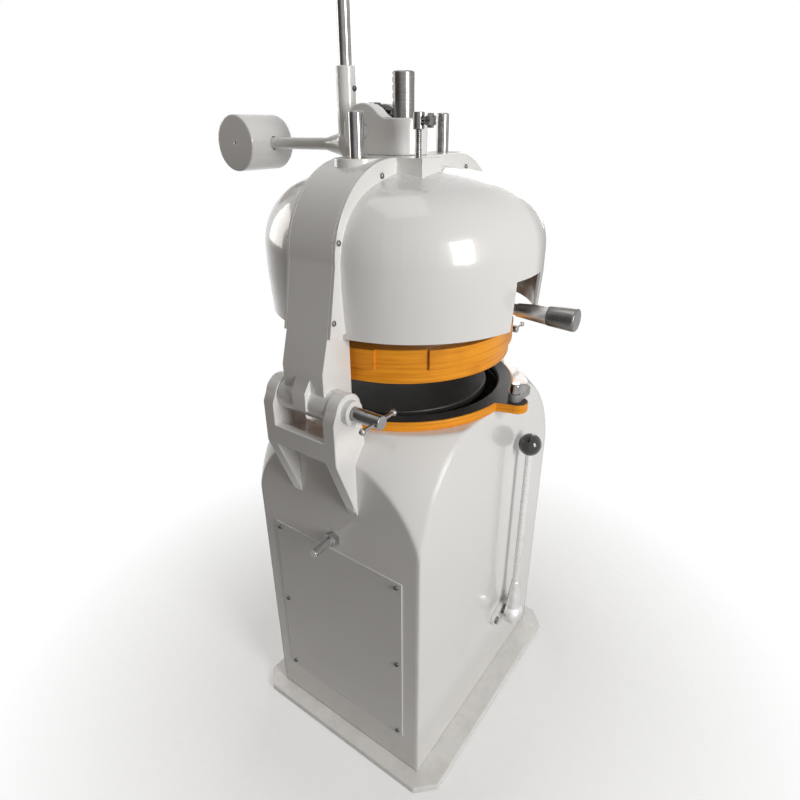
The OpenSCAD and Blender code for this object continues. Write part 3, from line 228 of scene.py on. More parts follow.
lamp("window_near", place=(-0.75, -2.85, 1.75), aim=(0, 0, 0.85), width=1.0, height=1.7,
     power=66, colour=(1, 0.99, 0.975))
lamp("right_fill", place=(2.9, 0.7, 1.7), aim=(0, 0, 0.9), width=1.5, height=1.5,
     power=20, colour=(1, 0.97, 0.94))
lamp("back_fill", place=(-0.3, 3.0, 1.7), aim=(0, 0, 0.9), width=1.5, height=1.5,
     power=26, colour=(1, 0.96, 0.91))
lamp("ceiling", place=(-0.2, 0.2, 3.6), aim=(0, 0, 1.0), width=1.8, height=1.2,
     power=9, colour=(1, 1, 1))

# %% [markdown]
# ## Sprayed paint
# Sprayed enamel is never one colour: it is a little uneven, has the fine skin of sprayed paint, and
# gathers flour dust on top and dirt near the floor. Several materials need this, so it is a node
# group, built once and placed in each material with its own values. Two helpers start a group and
# place one.


# %% Helpers for node groups
def start_group(name, inputs, outputs):
    group = bpy.data.node_groups.new(name, "ShaderNodeTree")
    for label, kind, value in inputs:
        group.interface.new_socket(label, in_out="INPUT", socket_type=kind).default_value = value
    for label, kind in outputs:
        group.interface.new_socket(label, in_out="OUTPUT", socket_type=kind)
    return group, group.nodes.new("NodeGroupInput").outputs, group.nodes.new("NodeGroupOutput").inputs


def use(tree, group, **values):
    made = put(tree, "ShaderNodeGroup", node_tree=group)
    for key, value in values.items():
        made.inputs[key].default_value = value
    return made.outputs


COLOUR, NUMBER, DIRECTION = "NodeSocketColor", "NodeSocketFloat", "NodeSocketVector"
SURFACE = [("Colour", COLOUR), ("Roughness", NUMBER), ("Height", NUMBER)]
print("a surface group puts out", [label for label, kind in SURFACE])

# %% Sprayed paint
FLOUR, FLOOR_DIRT = (0.60, 0.57, 0.52, 1), (0.33, 0.30, 0.26, 1)
UNEVEN_DARK, UNEVEN_LIGHT = (0.975, 0.97, 0.96, 1), (1.0, 1.0, 1.0, 1)
UNEVEN_SCALE, FLOUR_SCALE, DIRT_SCALE, GLOSS_SCALE, SKIN_SCALE = 4.0, 23.0, 31.0, 17.0, 260.0
DIRT_HEIGHT = 0.10
GLOSSY, LESS_GLOSSY, DULLED_BY_FLOUR = 0.22, 0.26, 0.12

paint_film, given, result = start_group(
    "paint_film",
    [("Paint", COLOUR, (0.8, 0.8, 0.8, 1)), ("Dust", NUMBER, 0.1), ("Grime", NUMBER, 0.25)], SURFACE)
tree = paint_film
place = put(tree, "ShaderNodeTexCoord").outputs["Object"]
broad = ramp(tree, noise(tree, place, UNEVEN_SCALE, detail=2.0), 0.3, 0.7)
uneven = mixed(tree, broad, UNEVEN_DARK, UNEVEN_LIGHT)
colour = mixed(tree, 1.0, given["Paint"], uneven, "MULTIPLY")
facing = put(tree, "ShaderNodeSeparateXYZ", {0: put(tree, "ShaderNodeNewGeometry").outputs["Normal"]})
upward = ramp(tree, facing.outputs["Z"], 0.75, 1.0)
patchy = ramp(tree, noise(tree, place, FLOUR_SCALE, detail=5.0), 0.42, 0.75)
flour = maths(tree, "MULTIPLY", upward, patchy)
colour = mixed(tree, maths(tree, "MULTIPLY", flour, given["Dust"]), colour, FLOUR)
height = put(tree, "ShaderNodeSeparateXYZ", {0: place}).outputs["Z"]
near_floor = ramp(tree, height, DIRT_HEIGHT, 0.0)
blotchy = ramp(tree, noise(tree, place, DIRT_SCALE, detail=6.0), 0.40, 0.70)
dirt = maths(tree, "MULTIPLY", near_floor, blotchy)
colour = mixed(tree, maths(tree, "MULTIPLY", dirt, given["Grime"]), colour, FLOOR_DIRT)
gloss = ramp(tree, noise(tree, place, GLOSS_SCALE, detail=4.0), 0.3, 0.7, GLOSSY, LESS_GLOSSY)
dulled = maths(tree, "MULTIPLY", flour, DULLED_BY_FLOUR)
tree.links.new(colour, result["Colour"])
tree.links.new(maths(tree, "ADD", gloss, dulled), result["Roughness"])
tree.links.new(noise(tree, place, SKIN_SCALE, detail=2.0), result["Height"])
print("group", paint_film.name, "with", len(paint_film.nodes), "nodes")

# %% [markdown]
# ## Rubbed edges
# Edges that hands and cloths touch lose their paint or turn bright. A Bevel node gives the normal
# that a rounded edge would have. Where it differs from the true normal there is an edge, and a
# noise breaks that line into patches. No edge has to be marked by hand.

# %% Rubbed edges
NO_EDGE, FULL_EDGE = 0.995, 0.88
RUB_SCALE = 55.0

edge_rub, given, result = start_group(
    "edge_rub", [("Radius", NUMBER, 0.002), ("Amount", NUMBER, 0.5)], [("Mask", NUMBER)])
tree = edge_rub
place = put(tree, "ShaderNodeTexCoord").outputs["Object"]
soft = put(tree, "ShaderNodeBevel", {"Radius": given["Radius"]}, samples=4).outputs[0]
flat = put(tree, "ShaderNodeNewGeometry").outputs["Normal"]
alike = put(tree, "ShaderNodeVectorMath", {0: soft, 1: flat}, operation="DOT_PRODUCT").outputs["Value"]
corner = ramp(tree, alike, NO_EDGE, FULL_EDGE)
patch = ramp(tree, noise(tree, place, RUB_SCALE, detail=6.0, rough=0.6), 0.42, 0.66)
worn = maths(tree, "MULTIPLY", corner, patch)
tree.links.new(maths(tree, "MULTIPLY", worn, given["Amount"]), result["Mask"])
print("group", edge_rub.name, "with", len(edge_rub.nodes), "nodes")

# %% [markdown]
# ## Tool lines on metal
# Turned and drawn metal has fine lines from the tool, and faint blots where it was handled. The
# lines are a noise that is squeezed along one direction, so one group serves bars and rings alike:
# each metal gives its own stretch.


# %% Tool lines on metal
def stretched(tree, place, by):
    return put(tree, "ShaderNodeVectorMath", {0: place, 1: by}, operation="MULTIPLY").outputs["Vector"]


LINE_SHARE, BLOT_SHARE = 0.6, 0.4
BLOT_SCALE = 38.0
tool_lines, given, result = start_group(
    "tool_lines", [("Stretch", DIRECTION, (1, 1, 1)), ("Smooth", NUMBER, 0.2), ("Spread", NUMBER, 0.15)],
    [("Shade", NUMBER), ("Roughness", NUMBER), ("Height", NUMBER)])
tree = tool_lines
place = put(tree, "ShaderNodeTexCoord").outputs["Object"]
lines = noise(tree, stretched(tree, place, given["Stretch"]), 1.0, detail=4.0, rough=0.6)
blot = noise(tree, place, BLOT_SCALE, detail=4.0)
line_shade = maths(tree, "MULTIPLY", lines, LINE_SHARE)
blot_shade = maths(tree, "MULTIPLY", blot, BLOT_SHARE)
dull = maths(tree, "MULTIPLY", given["Spread"], ramp(tree, blot, 0.3, 0.7))
tree.links.new(maths(tree, "ADD", line_shade, blot_shade), result["Shade"])
tree.links.new(maths(tree, "ADD", given["Smooth"], dull), result["Roughness"])
tree.links.new(lines, result["Height"])
print("group", tool_lines.name, "with", len(tool_lines.nodes), "nodes")

# %% [markdown]
# ## Skin of a casting
# A bare casting has the grain of its sand mould and stains. One noise gives the grain, for the bump
# and the roughness together, and a coarser one gives the stains.

# %% Skin of a casting
STAIN, STAIN_SCALE = (0.72, 0.72, 0.73, 1), 21.0
SMOOTH_GRAIN, ROUGH_GRAIN = 0.38, 0.58

cast_skin, given, result = start_group(
    "cast_skin", [("Grain", NUMBER, 180.0), ("Tone", COLOUR, (0.3, 0.3, 0.3, 1))], SURFACE)
tree = cast_skin
place = put(tree, "ShaderNodeTexCoord").outputs["Object"]
grain = noise(tree, place, given["Grain"], detail=5.0, rough=0.65)
stain = ramp(tree, noise(tree, place, STAIN_SCALE, detail=5.0), 0.3, 0.7)
dark = mixed(tree, 1.0, given["Tone"], STAIN, "MULTIPLY")
tree.links.new(mixed(tree, stain, given["Tone"], dark), result["Colour"])
tree.links.new(ramp(tree, grain, 0.3, 0.7, SMOOTH_GRAIN, ROUGH_GRAIN), result["Roughness"])
tree.links.new(grain, result["Height"])
print("group", cast_skin.name, "with", len(cast_skin.nodes), "nodes")

# %% [markdown]
# ## White paint
# Body, head and base are sprayed in glossy white. A clear coat gives the sharp highlight over the
# paint's own softer one. The body's wide shoulder is softer on the real machine than on its solid:
# a Bevel node lets the light run softly over that edge, and the mesh stays as it is.


# %% Helpers for materials
def start_material(name, **fixed):
    made = bpy.data.materials.new(name)
    made.use_nodes = True
    tree = made.node_tree
    shader = tree.nodes["Principled BSDF"]
    for key, value in fixed.items():
        shader.inputs[key.replace("_", " ")].default_value = value
    return made, tree, shader


def bump(tree, shader, height, strength, depth):
    made = put(tree, "ShaderNodeBump", {"Height": height, "Strength": strength, "Distance": depth})
    tree.links.new(made.outputs[0], shader.inputs["Normal"])
    return made


finish = {}
print("material helpers ready")


# %% Painted surfaces
def painted(name, paint, primer, dust, grime, rub, coat=0.6, soft=0.0):
    made, tree, shader = start_material(name, Coat_Weight=coat, Coat_Roughness=0.07)
    film = use(tree, paint_film, Paint=paint, Dust=dust, Grime=grime)
    worn = use(tree, edge_rub, Radius=PAINT_RUB, Amount=rub)["Mask"]
    dull = maths(tree, "MULTIPLY", worn, DULL_PRIMER)
    tree.links.new(mixed(tree, worn, film["Colour"], primer), shader.inputs["Base Color"])
    tree.links.new(maths(tree, "ADD", film["Roughness"], dull), shader.inputs["Roughness"])
    skin = bump(tree, shader, film["Height"], strength=0.05, depth=0.0004)
    if soft:
        softened = put(tree, "ShaderNodeBevel", {"Radius": soft}, samples=8).outputs[0]
        tree.links.new(softened, skin.inputs["Normal"])
    finish[name] = made


# The side panel's darker white is painted shade: it is the body's white, darkened to look shaded.
WHITE, PANEL_WHITE_PAINTED_SHADE, PRIMER = (0.80, 0.795, 0.785, 1), (0.68, 0.675, 0.665, 1), (0.52, 0.51, 0.49, 1)
MOTOR_BLUE, MOTOR_PRIMER = (0.055, 0.085, 0.125, 1), (0.25, 0.25, 0.25, 1)
PAINT_RUB, SHOULDER_SOFT = 0.0022, 0.016
DULL_PRIMER = 0.25
painted("white", WHITE, PRIMER, dust=0.10, grime=0.16, rub=0.22)
painted("white_body", WHITE, PRIMER, dust=0.10, grime=0.16, rub=0.10, soft=SHOULDER_SOFT)
painted("white_panel_painted_shade", PANEL_WHITE_PAINTED_SHADE, PRIMER, dust=0.10, grime=0.16, rub=0.22)
painted("motor_paint", MOTOR_BLUE, MOTOR_PRIMER, dust=0.35, grime=0.2, rub=0.8, coat=0.2)
print("painted:", list(finish))

# %% [markdown]
# ## Orange rings
# The table ring's rim and the cam ring are orange, with long faint streaks that run round them. A
# noise that is squeezed in height draws such streaks on any upright wall. It changes the colour, the
# roughness and the bump together, as a real streak does.

# %% Orange rings
ORANGE, ORANGE_STREAK = (0.93, 0.370, 0.022, 1), (0.74, 0.250, 0.012, 1)
ORANGE_CLOUD, ORANGE_RUBBED = (0.50, 0.15, 0.008, 1), (0.80, 0.50, 0.14, 1)
ROUND_THE_RING = (7, 7, 190)
CLOUD_SCALE, CLOUD_AMOUNT = 13.0, 0.45

made, tree, shader = start_material("orange", Specular_IOR_Level=0.25)
place = put(tree, "ShaderNodeTexCoord").outputs["Object"]
long = stretched(tree, place, ROUND_THE_RING)
streak = ramp(tree, noise(tree, long, 1.0, detail=6.0, rough=0.6), 0.40, 0.66)
colour = mixed(tree, streak, ORANGE, ORANGE_STREAK)
cloud = ramp(tree, noise(tree, place, CLOUD_SCALE, detail=4.0), 0.56, 0.74)
colour = mixed(tree, maths(tree, "MULTIPLY", cloud, CLOUD_AMOUNT), colour, ORANGE_CLOUD)
worn = use(tree, edge_rub, Radius=0.002, Amount=0.55)["Mask"]
tree.links.new(mixed(tree, worn, colour, ORANGE_RUBBED), shader.inputs["Base Color"])
tree.links.new(ramp(tree, streak, 0.0, 1.0, to_low=0.34, to_high=0.46), shader.inputs["Roughness"])
bump(tree, shader, streak, strength=0.08, depth=0.0004)
finish["orange"] = made
print("orange with", len(tree.nodes), "nodes")

# %% [markdown]
# ## Bright metals
# Pins, posts and rods are chrome or turned steel, the bushes are bronze. A metal has no colour of
# its own beside what it mirrors, so each one is a light and a dark tone, a stretch for its tool
# lines and a roughness. One helper makes them all.


# %% Bright metals
def metal(name, light, shadow, stretch, smooth, spread, strength=0.1):
    made, tree, shader = start_material(name, Metallic=1.0)
    tool = use(tree, tool_lines, Stretch=stretch, Smooth=smooth, Spread=spread)
    worn = use(tree, edge_rub, Radius=0.0012, Amount=0.5)["Mask"]
    colour = mixed(tree, ramp(tree, tool["Shade"], 0.32, 0.68), (*shadow, 1), (*light, 1))
    tree.links.new(mixed(tree, worn, colour, RUBBED_METAL), shader.inputs["Base Color"])
    tree.links.new(tool["Roughness"], shader.inputs["Roughness"])
    bump(tree, shader, tool["Height"], strength, depth=0.0002)
    finish[name] = made


RUBBED_METAL = (0.72, 0.72, 0.72, 1)
CHROMED = {"stretch": (60, 60, 60), "smooth": 0.06, "spread": 0.08, "strength": 0.03}
metal("chrome", (0.38, 0.37, 0.36), (0.24, 0.235, 0.23), **CHROMED)
# A brighter copy of chrome for the stud: a painted reflection that stands in for the bright surroundings it
# mirrors.
metal("chrome_painted_reflection", (0.66, 0.655, 0.65), (0.50, 0.495, 0.49), **CHROMED)
metal("steel", (0.26, 0.25, 0.24), (0.15, 0.145, 0.14), stretch=(30, 30, 900), smooth=0.20, spread=0.16)
metal("pale_steel", (0.46, 0.46, 0.45), (0.34, 0.34, 0.335), stretch=(400, 400, 40), smooth=0.22, spread=0.14)
metal("dark_steel", (0.13, 0.13, 0.132), (0.075, 0.075, 0.078), stretch=(90, 90, 600),
      smooth=0.28, spread=0.16)
metal("alloy", (0.58, 0.58, 0.575), (0.44, 0.44, 0.44), stretch=(25, 25, 700), smooth=0.24, spread=0.14)
metal("polished", (0.84, 0.835, 0.825), (0.70, 0.695, 0.685), stretch=(40, 40, 300), smooth=0.24, spread=0.12)
metal("bronze", (0.50, 0.29, 0.10), (0.36, 0.20, 0.065), stretch=(40, 40, 500), smooth=0.25, spread=0.15)
print("finishes so far:", len(finish))

# %% [markdown]
# ## Castings
# The carriers inside the body are bare dark castings, and the small catch on the ring's ear is a
# paler one. Both use the casting's skin, and their edges are rubbed bright.


# %% Castings
def casting(name, tone, metallic, grain, strength):
    made, tree, shader = start_material(name, Metallic=metallic)
    skin = use(tree, cast_skin, Grain=grain, Tone=tone)
    worn = use(tree, edge_rub, Radius=0.002, Amount=0.6)["Mask"]
    tree.links.new(mixed(tree, worn, skin["Colour"], RUBBED_CASTING), shader.inputs["Base Color"])
    tree.links.new(skin["Roughness"], shader.inputs["Roughness"])
    bump(tree, shader, skin["Height"], strength, depth=0.0006)
    finish[name] = made


RUBBED_CASTING = (0.50, 0.50, 0.49, 1)
casting("cast", (0.10, 0.105, 0.11, 1), metallic=0.7, grain=190.0, strength=0.35)
casting("grey_catch", (0.30, 0.30, 0.295, 1), metallic=0.35, grain=130.0, strength=0.22)
print("finishes so far:", len(finish))

# %% [markdown]
# ## Black table
# The round table that rolls the dough is black, with faint rings from the lathe and a trace of
# flour. A Wave texture set to rings is made for this, and it needs no picture.

# %% Black table
TABLE_BLACK, TABLE_FLOUR = (0.026, 0.025, 0.0245, 1), (0.052, 0.049, 0.046, 1)
LATHE_RINGS = {"Scale": 60.0, "Distortion": 5.0, "Detail": 4.0}
TRACE_SCALE = 30.0

made, tree, shader = start_material("black_plate")
place = put(tree, "ShaderNodeTexCoord").outputs["Object"]
rings = {"Vector": place, **LATHE_RINGS}
lathe = put(tree, "ShaderNodeTexWave", rings, wave_type="RINGS", rings_direction="Z").outputs["Fac"]
flour = ramp(tree, noise(tree, place, TRACE_SCALE, detail=6.0, rough=0.6), 0.50, 0.80)
tree.links.new(mixed(tree, flour, TABLE_BLACK, TABLE_FLOUR), shader.inputs["Base Color"])
tree.links.new(ramp(tree, lathe, 0.0, 1.0, to_low=0.42, to_high=0.56), shader.inputs["Roughness"])
bump(tree, shader, lathe, strength=0.06, depth=0.0003)
finish["black_plate"] = made
print("black table with", len(tree.nodes), "nodes")

# %% [markdown]
# ## Black plastic and the belt
# Ball and grip are glossy black plastic with the smears of hands. The belt is matt rubber with cords
# along it. Black still needs some change over its surface, or it looks like a hole in the picture.

# %% Black plastic and the belt
PLASTIC, PLASTIC_SMEAR = (0.008, 0.008, 0.008, 1), (0.018, 0.017, 0.017, 1)
RUBBER, RUBBER_CORD = (0.012, 0.012, 0.012, 1), (0.034, 0.033, 0.032, 1)
ALONG_THE_BELT = (40, 40, 900)
SMEAR_SCALE, MOULD_SCALE = 42.0, 500.0

made, tree, shader = start_material("black_plastic", Coat_Weight=0.5, Coat_Roughness=0.05)
place = put(tree, "ShaderNodeTexCoord").outputs["Object"]
smear = noise(tree, place, SMEAR_SCALE, detail=4.0)
tree.links.new(mixed(tree, smear, PLASTIC, PLASTIC_SMEAR), shader.inputs["Base Color"])
tree.links.new(ramp(tree, smear, 0.3, 0.7, to_low=0.12, to_high=0.26), shader.inputs["Roughness"])
bump(tree, shader, noise(tree, place, MOULD_SCALE, detail=2.0), strength=0.03, depth=0.0002)
finish["black_plastic"] = made

made, tree, shader = start_material("belt")
place = put(tree, "ShaderNodeTexCoord").outputs["Object"]
cords = noise(tree, stretched(tree, place, ALONG_THE_BELT), 1.0)
tree.links.new(mixed(tree, cords, RUBBER, RUBBER_CORD), shader.inputs["Base Color"])
tree.links.new(ramp(tree, cords, 0.3, 0.7, to_low=0.6, to_high=0.8), shader.inputs["Roughness"])
bump(tree, shader, cords, strength=0.3, depth=0.0005)
finish["belt"] = made
print("finishes:", sorted(finish))

# %% [markdown]
# ## Soft edges on the castings and sheets
# No cast, pressed or sawn piece has a perfectly sharp edge, and it is the thin bright line along an
# edge that makes metal look like metal. Each big solid is copied, its loose triangles are merged and
# its flat faces joined, and a bevel rounds the edges. The Weighted Normal modifier then lets the
# large flat faces keep their own direction, so that the narrow rounding does not tilt their shading.
# The copy stands for the solid, which stays in the physics model as it is.


# %% Helpers that dress one solid
def activate(obj):
    if bpy.context.object and bpy.context.object.mode != "OBJECT":
        bpy.ops.object.mode_set(mode="OBJECT")
    bpy.ops.object.select_all(action="DESELECT")
    obj.select_set(True)
    bpy.context.view_layer.objects.active = obj


def hand_over(obj, name):
    obj.data.materials.clear()
    obj.data.materials.append(finish[slot_of[name]])
    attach(obj, body_of[name])
    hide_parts(name)


MERGE_WITHIN = 0.00002
FLAT_WITHIN, EDGE_FROM = math.radians(0.6), math.radians(32)


def dressed(name, width):
    activate(nodes[name])
    bpy.ops.object.duplicate()
    made = bpy.context.object
    made.name = name + "_edged"
    bpy.ops.mesh.customdata_custom_splitnormals_clear()
    bpy.ops.object.mode_set(mode="EDIT")
    bpy.ops.mesh.select_all(action="SELECT")
    bpy.ops.mesh.remove_doubles(threshold=MERGE_WITHIN)
    bpy.ops.mesh.dissolve_limited(angle_limit=FLAT_WITHIN)
    bpy.ops.object.mode_set(mode="OBJECT")
    rounding = made.modifiers.new("rounding", "BEVEL")
    rounding.width = width
    rounding.segments = 3
    rounding.limit_method = "ANGLE"
    rounding.angle_limit = EDGE_FROM
    rounding.use_clamp_overlap = False
    rounding.loop_slide = False
    bpy.ops.object.modifier_apply(modifier="rounding")
    bpy.ops.object.shade_smooth_by_angle(angle=EDGE_FROM)
    evened = made.modifiers.new("evened", "WEIGHTED_NORMAL")
    evened.keep_sharp = True
    bpy.ops.object.modifier_apply(modifier="evened")
    hand_over(made, name)


print("dressing helpers ready")

# %% Dress the big solids
EDGES = {
    "base_plate": 0.004, "body_casing": 0.002, "side_panel": 0.0008, "hinge_bracket": 0.0018,
    "rest_bracket": 0.0018, "table_ring": 0.0012, "yoke": 0.0012, "front_dome": 0.0008, "rear_dome": 0.0008,
    "lever_bracket": 0.003, "press_lever": 0.003, "counterweight": 0.002, "cam_ring": 0.0006,
    "handle_bracket": 0.0012, "moulding_plate": 0.0015, "plate_catch": 0.0015, "lever_flange": 0.0015,
    "rounding_lever": 0.0015, "pin_bushes": 0.001, "hinge_pin": 0.001, "clamp_screw": 0.001,
    "guide_posts": 0.0012, "press_shaft": 0.0004, "hand_rod": 0.001, "stop_sleeve": 0.0012,
    "handle_stem": 0.0006, "catch_bolt": 0.0012, "tension_nut": 0.0008, "tension_stud": 0.001,
    "power_gland": 0.001, "start_switch": 0.001,
}
for name, width in EDGES.items():
    dressed(name, width)
print("dressed:", len(EDGES))

# %% [markdown]
# ## Black top of the table ring
# Only the outer rim of the table ring is orange. Its top and its inner wall are as black as the
# round table inside it. The faces that look straight up, and those nearer to the axis than the rim,
# are given the second finish, and the rounded outer edge stays orange. A helper reads the box of a
# solid, to a tenth of a millimetre, so that places follow the solids.


# %% Give the ring its black top
def box(name):
    spots = [v.co for v in nodes[name].data.vertices]
    low = Vector([round(min(spot[i] for spot in spots), 4) for i in range(3)])
    high = Vector([round(max(spot[i] for spot in spots), 4) for i in range(3)])
    return low, high, (low + high) / 2


RIM_WIDTH, TOP_BAND = 0.020, 0.005
STRAIGHT_UP = 0.999
low, high, middle = box("table_ring")
ring = bpy.data.objects["table_ring_edged"]
ring.data.materials.append(finish["black_plate"])
for face in ring.data.polygons:
    top = face.normal.z > STRAIGHT_UP and face.center.z > high.z - TOP_BAND
    inner = math.hypot(face.center.x, face.center.y) < high.y - RIM_WIDTH
    face.material_index = 1 if top or inner else 0
print("black faces:", sum(face.material_index for face in ring.data.polygons))

# %% [markdown]
# ## Finishes of their own
# A slot names the general finish of a piece, such as white or chrome. A few pieces differ from the
# rest of their slot: the body has the soft shoulder, and the rounding lever and the handle's stem are
# brighter, as on the real machine. The sheet panel is the body's white made darker as painted shade,
# and the stud's chrome is made brighter as a painted reflection. The solids that keep their own mesh
# get the finish of their slot.

# %% Give some pieces a finish of their own
# The side panel's finish carries painted shade, and the stud's chrome carries a painted reflection.
OWN_FINISH = {
    "body_casing": "white_body", "side_panel": "white_panel_painted_shade", "rounding_lever": "polished",
    "handle_stem": "polished", "tension_stud": "chrome_painted_reflection", "tension_nut": "pale_steel",
}
for name, wanted in OWN_FINISH.items():
    bpy.data.objects[name + "_edged"].data.materials[0] = finish[wanted]
print("finishes of their own:", OWN_FINISH)

# %% Finishes on the solids that stay
for name, obj in nodes.items():
    obj.data.materials.clear()
    obj.data.materials.append(finish[slot_of[name]])
nodes["pinion_axle"].data.materials[0] = finish["white"]
print("finished solids:", len(nodes) - len(EDGES))

# %% [markdown]
# ## Tools for modelling by hand
# The pieces below are modelled the way a person would do it: a primitive is added, parts of it are
# selected, and the selection is extruded, resized, inset or bevelled. Helpers do the repeated part.
# One selects by place, one builds a turned piece along its axis from radii and heights, like passes
# on a lathe, and one sets a piece down at its place.


# %% Selecting, turning and setting down
def edit(obj):
    activate(obj)
    bpy.ops.object.mode_set(mode="EDIT")


def pick(obj, kind, test):
    bpy.ops.mesh.select_mode(type=kind)
    bpy.ops.mesh.select_all(action="DESELECT")
    shape = bmesh.from_edit_mesh(obj.data)
    for item in {"VERT": shape.verts, "FACE": shape.faces}[kind]:
        if test(item):
            item.select_set(True)
    shape.select_flush_mode()
    bmesh.update_edit_mesh(obj.data)


NEARLY_LEVEL = 0.9


def looks_up(face):
    return face.normal.z > NEARLY_LEVEL


def looks_down(face):
    return face.normal.z < -NEARLY_LEVEL


def raise_by(distance):
    bpy.ops.mesh.extrude_region_move(TRANSFORM_OT_translate={"value": (0, 0, distance)})


def turned(name, stations, sides=48):
    bpy.ops.object.select_all(action="DESELECT")
    radius, height = stations[0]
    start = (0, 0, height)
    bpy.ops.mesh.primitive_circle_add(vertices=sides, radius=radius, fill_type="NGON", location=start)
    made = bpy.context.object
    made.name = name
    bpy.ops.object.transform_apply(location=True)
    bpy.ops.object.mode_set(mode="EDIT")
    bpy.ops.mesh.select_all(action="SELECT")
    for wide, high in stations[1:]:
        raise_by(high - height)
        bpy.ops.transform.resize(value=(wide / radius, wide / radius, 1), center_override=(0, 0, high))
        radius, height = wide, high
    bpy.ops.mesh.select_all(action="SELECT")
    bpy.ops.mesh.normals_make_consistent(inside=False)
    bpy.ops.object.mode_set(mode="OBJECT")
    return made


SMOOTH_UP_TO = 35


def set_down(obj, place, turn=(0, 0, 0), smooth=SMOOTH_UP_TO):
    activate(obj)
    obj.location = place
    obj.rotation_euler = [math.radians(v) for v in turn]
    bpy.ops.object.transform_apply(location=True, rotation=True, scale=True)
    bpy.ops.object.shade_smooth_by_angle(angle=math.radians(smooth))


TO_THE_FRONT = (90, 0, 0)
print("modelling helpers ready")

# %% [markdown]
# ## Screws
# The panel and the dome flanges are held by button-head screws with a six-sided socket. One head is
# turned, the socket is cut into it with a six-sided bar and a Boolean, and the finished screw is
# copied to every place. The bar is narrower at its foot, as a pressed socket is.

# %% One button-head screw
SHANK_R, SHANK_L = 0.0029, 0.008
HEAD_R, HEAD_H = 0.0050, 0.0037
HEAD_SHARES = [(1.0, 0.0), (1.0, 0.324), (0.92, 0.622), (0.76, 0.865), (0.54, 1.0)]
SOCKET_R, SOCKET_L, SOCKET_Z = 0.0021, 0.004, 0.0035
SOCKET_FOOT_SHARE = 0.8

stations = [(SHANK_R, -SHANK_L), (SHANK_R, 0.0)]
stations += [(HEAD_R * wide, HEAD_H * high) for wide, high in HEAD_SHARES]
screw = turned("button_screw", stations, sides=28)
bpy.ops.object.select_all(action="DESELECT")
bpy.ops.mesh.primitive_cylinder_add(vertices=6, radius=SOCKET_R, depth=SOCKET_L, location=(0, 0, SOCKET_Z))
key = bpy.context.object
edit(key)
pick(key, "FACE", looks_down)
bpy.ops.transform.resize(value=(SOCKET_FOOT_SHARE, SOCKET_FOOT_SHARE, 1), center_override=(0, 0, 0))
bpy.ops.object.mode_set(mode="OBJECT")
activate(screw)
cut = screw.modifiers.new("socket", "BOOLEAN")
cut.object = key
cut.solver = "EXACT"
bpy.ops.object.modifier_apply(modifier="socket")
bpy.data.objects.remove(key)
bpy.ops.object.shade_smooth_by_angle(angle=math.radians(SMOOTH_UP_TO))
print("screw faces:", len(screw.data.polygons))


# %% Copy the screws to their places
def scatter(pattern, name, spots, stood_for):
    copies = []
    for place, turn in spots:
        activate(pattern)
        bpy.ops.object.duplicate()
        copy = bpy.context.object
        copy.location = place
        copy.rotation_euler = [math.radians(v) for v in turn]
        copies.append(copy)
    bpy.ops.object.select_all(action="DESELECT")
    for copy in copies:
        copy.select_set(True)
    bpy.context.view_layer.objects.active = copies[0]
    bpy.ops.object.join()
    made = bpy.context.object
    made.name = name
    bpy.ops.object.transform_apply(location=True, rotation=True, scale=True)
    hand_over(made, stood_for)
    print(name, len(spots), "copies")
    return made


SCREW_INSET, PANEL_TURN = 0.013, (0, -90, 30)
low, high, middle = box("side_panel")
columns = (low.y + SCREW_INSET, high.y - SCREW_INSET)
rows = (low.z + SCREW_INSET, middle.z, high.z - SCREW_INSET)
panel_spots = [((low.x, y, z), PANEL_TURN) for y in columns for z in rows]
panel_set = scatter(screw, "panel_button_screws", panel_spots, "panel_screws")
panel_set.data.materials[0] = finish["dark_steel"]

# %% Screws of the dome flanges and the lever
FLANGE_FACE = 0.054
FLANGE_SPOTS = [(0.138, 1.264), (0.253, 1.172), (0.274, 1.046)]
FRONT_TURN, REAR_TURN = (90, 0, 20), (-90, 0, 20)
SET_SCREW_PLACE = (0, 0.114, 1.402)

front = [((side * x, -FLANGE_FACE, z), FRONT_TURN) for x, z in FLANGE_SPOTS for side in (-1, 1)]
rear = [((side * x, FLANGE_FACE, z), REAR_TURN) for x, z in FLANGE_SPOTS for side in (-1, 1)]
scatter(screw, "dome_button_screws", front + rear, "dome_screws")
scatter(screw, "socket_set_screw", [(SET_SCREW_PLACE, TO_THE_FRONT)], "lever_screw")
bpy.data.objects.remove(screw)

# %% [markdown]
# ## Threaded stop rod
# How far the knives come down is set by a threaded rod with a sleeve on it. A thread is a small
# three-sided ridge wound round a bar. A triangle is drawn beside the axis and the Screw modifier
# winds it upward, then the ridge is joined to the turned core.

# %% Turn the rod's core
CORE_R, TIP_R = 0.0048, 0.0042
END_GAP = 0.0002
FOOT_TIP, HEAD_TIP = 0.0012, 0.0013

low, high, middle = box("stop_rod")
rod_axis = (middle.x, middle.y, 0)
foot, head = low.z + END_GAP, high.z - END_GAP
outline = [(TIP_R, foot), (CORE_R, foot + FOOT_TIP), (CORE_R, head - HEAD_TIP), (TIP_R, head)]
core = turned("threaded_stop_rod", outline, sides=32)
print("rod from", round(foot, 4), "to", round(head, 4))

# %% Wind the thread
RIDGE_R, CREST_R = 0.0015, 0.00598
THREAD_FROM, PITCH, TURNS, STEPS = 1.238, 0.0030, 38, 20

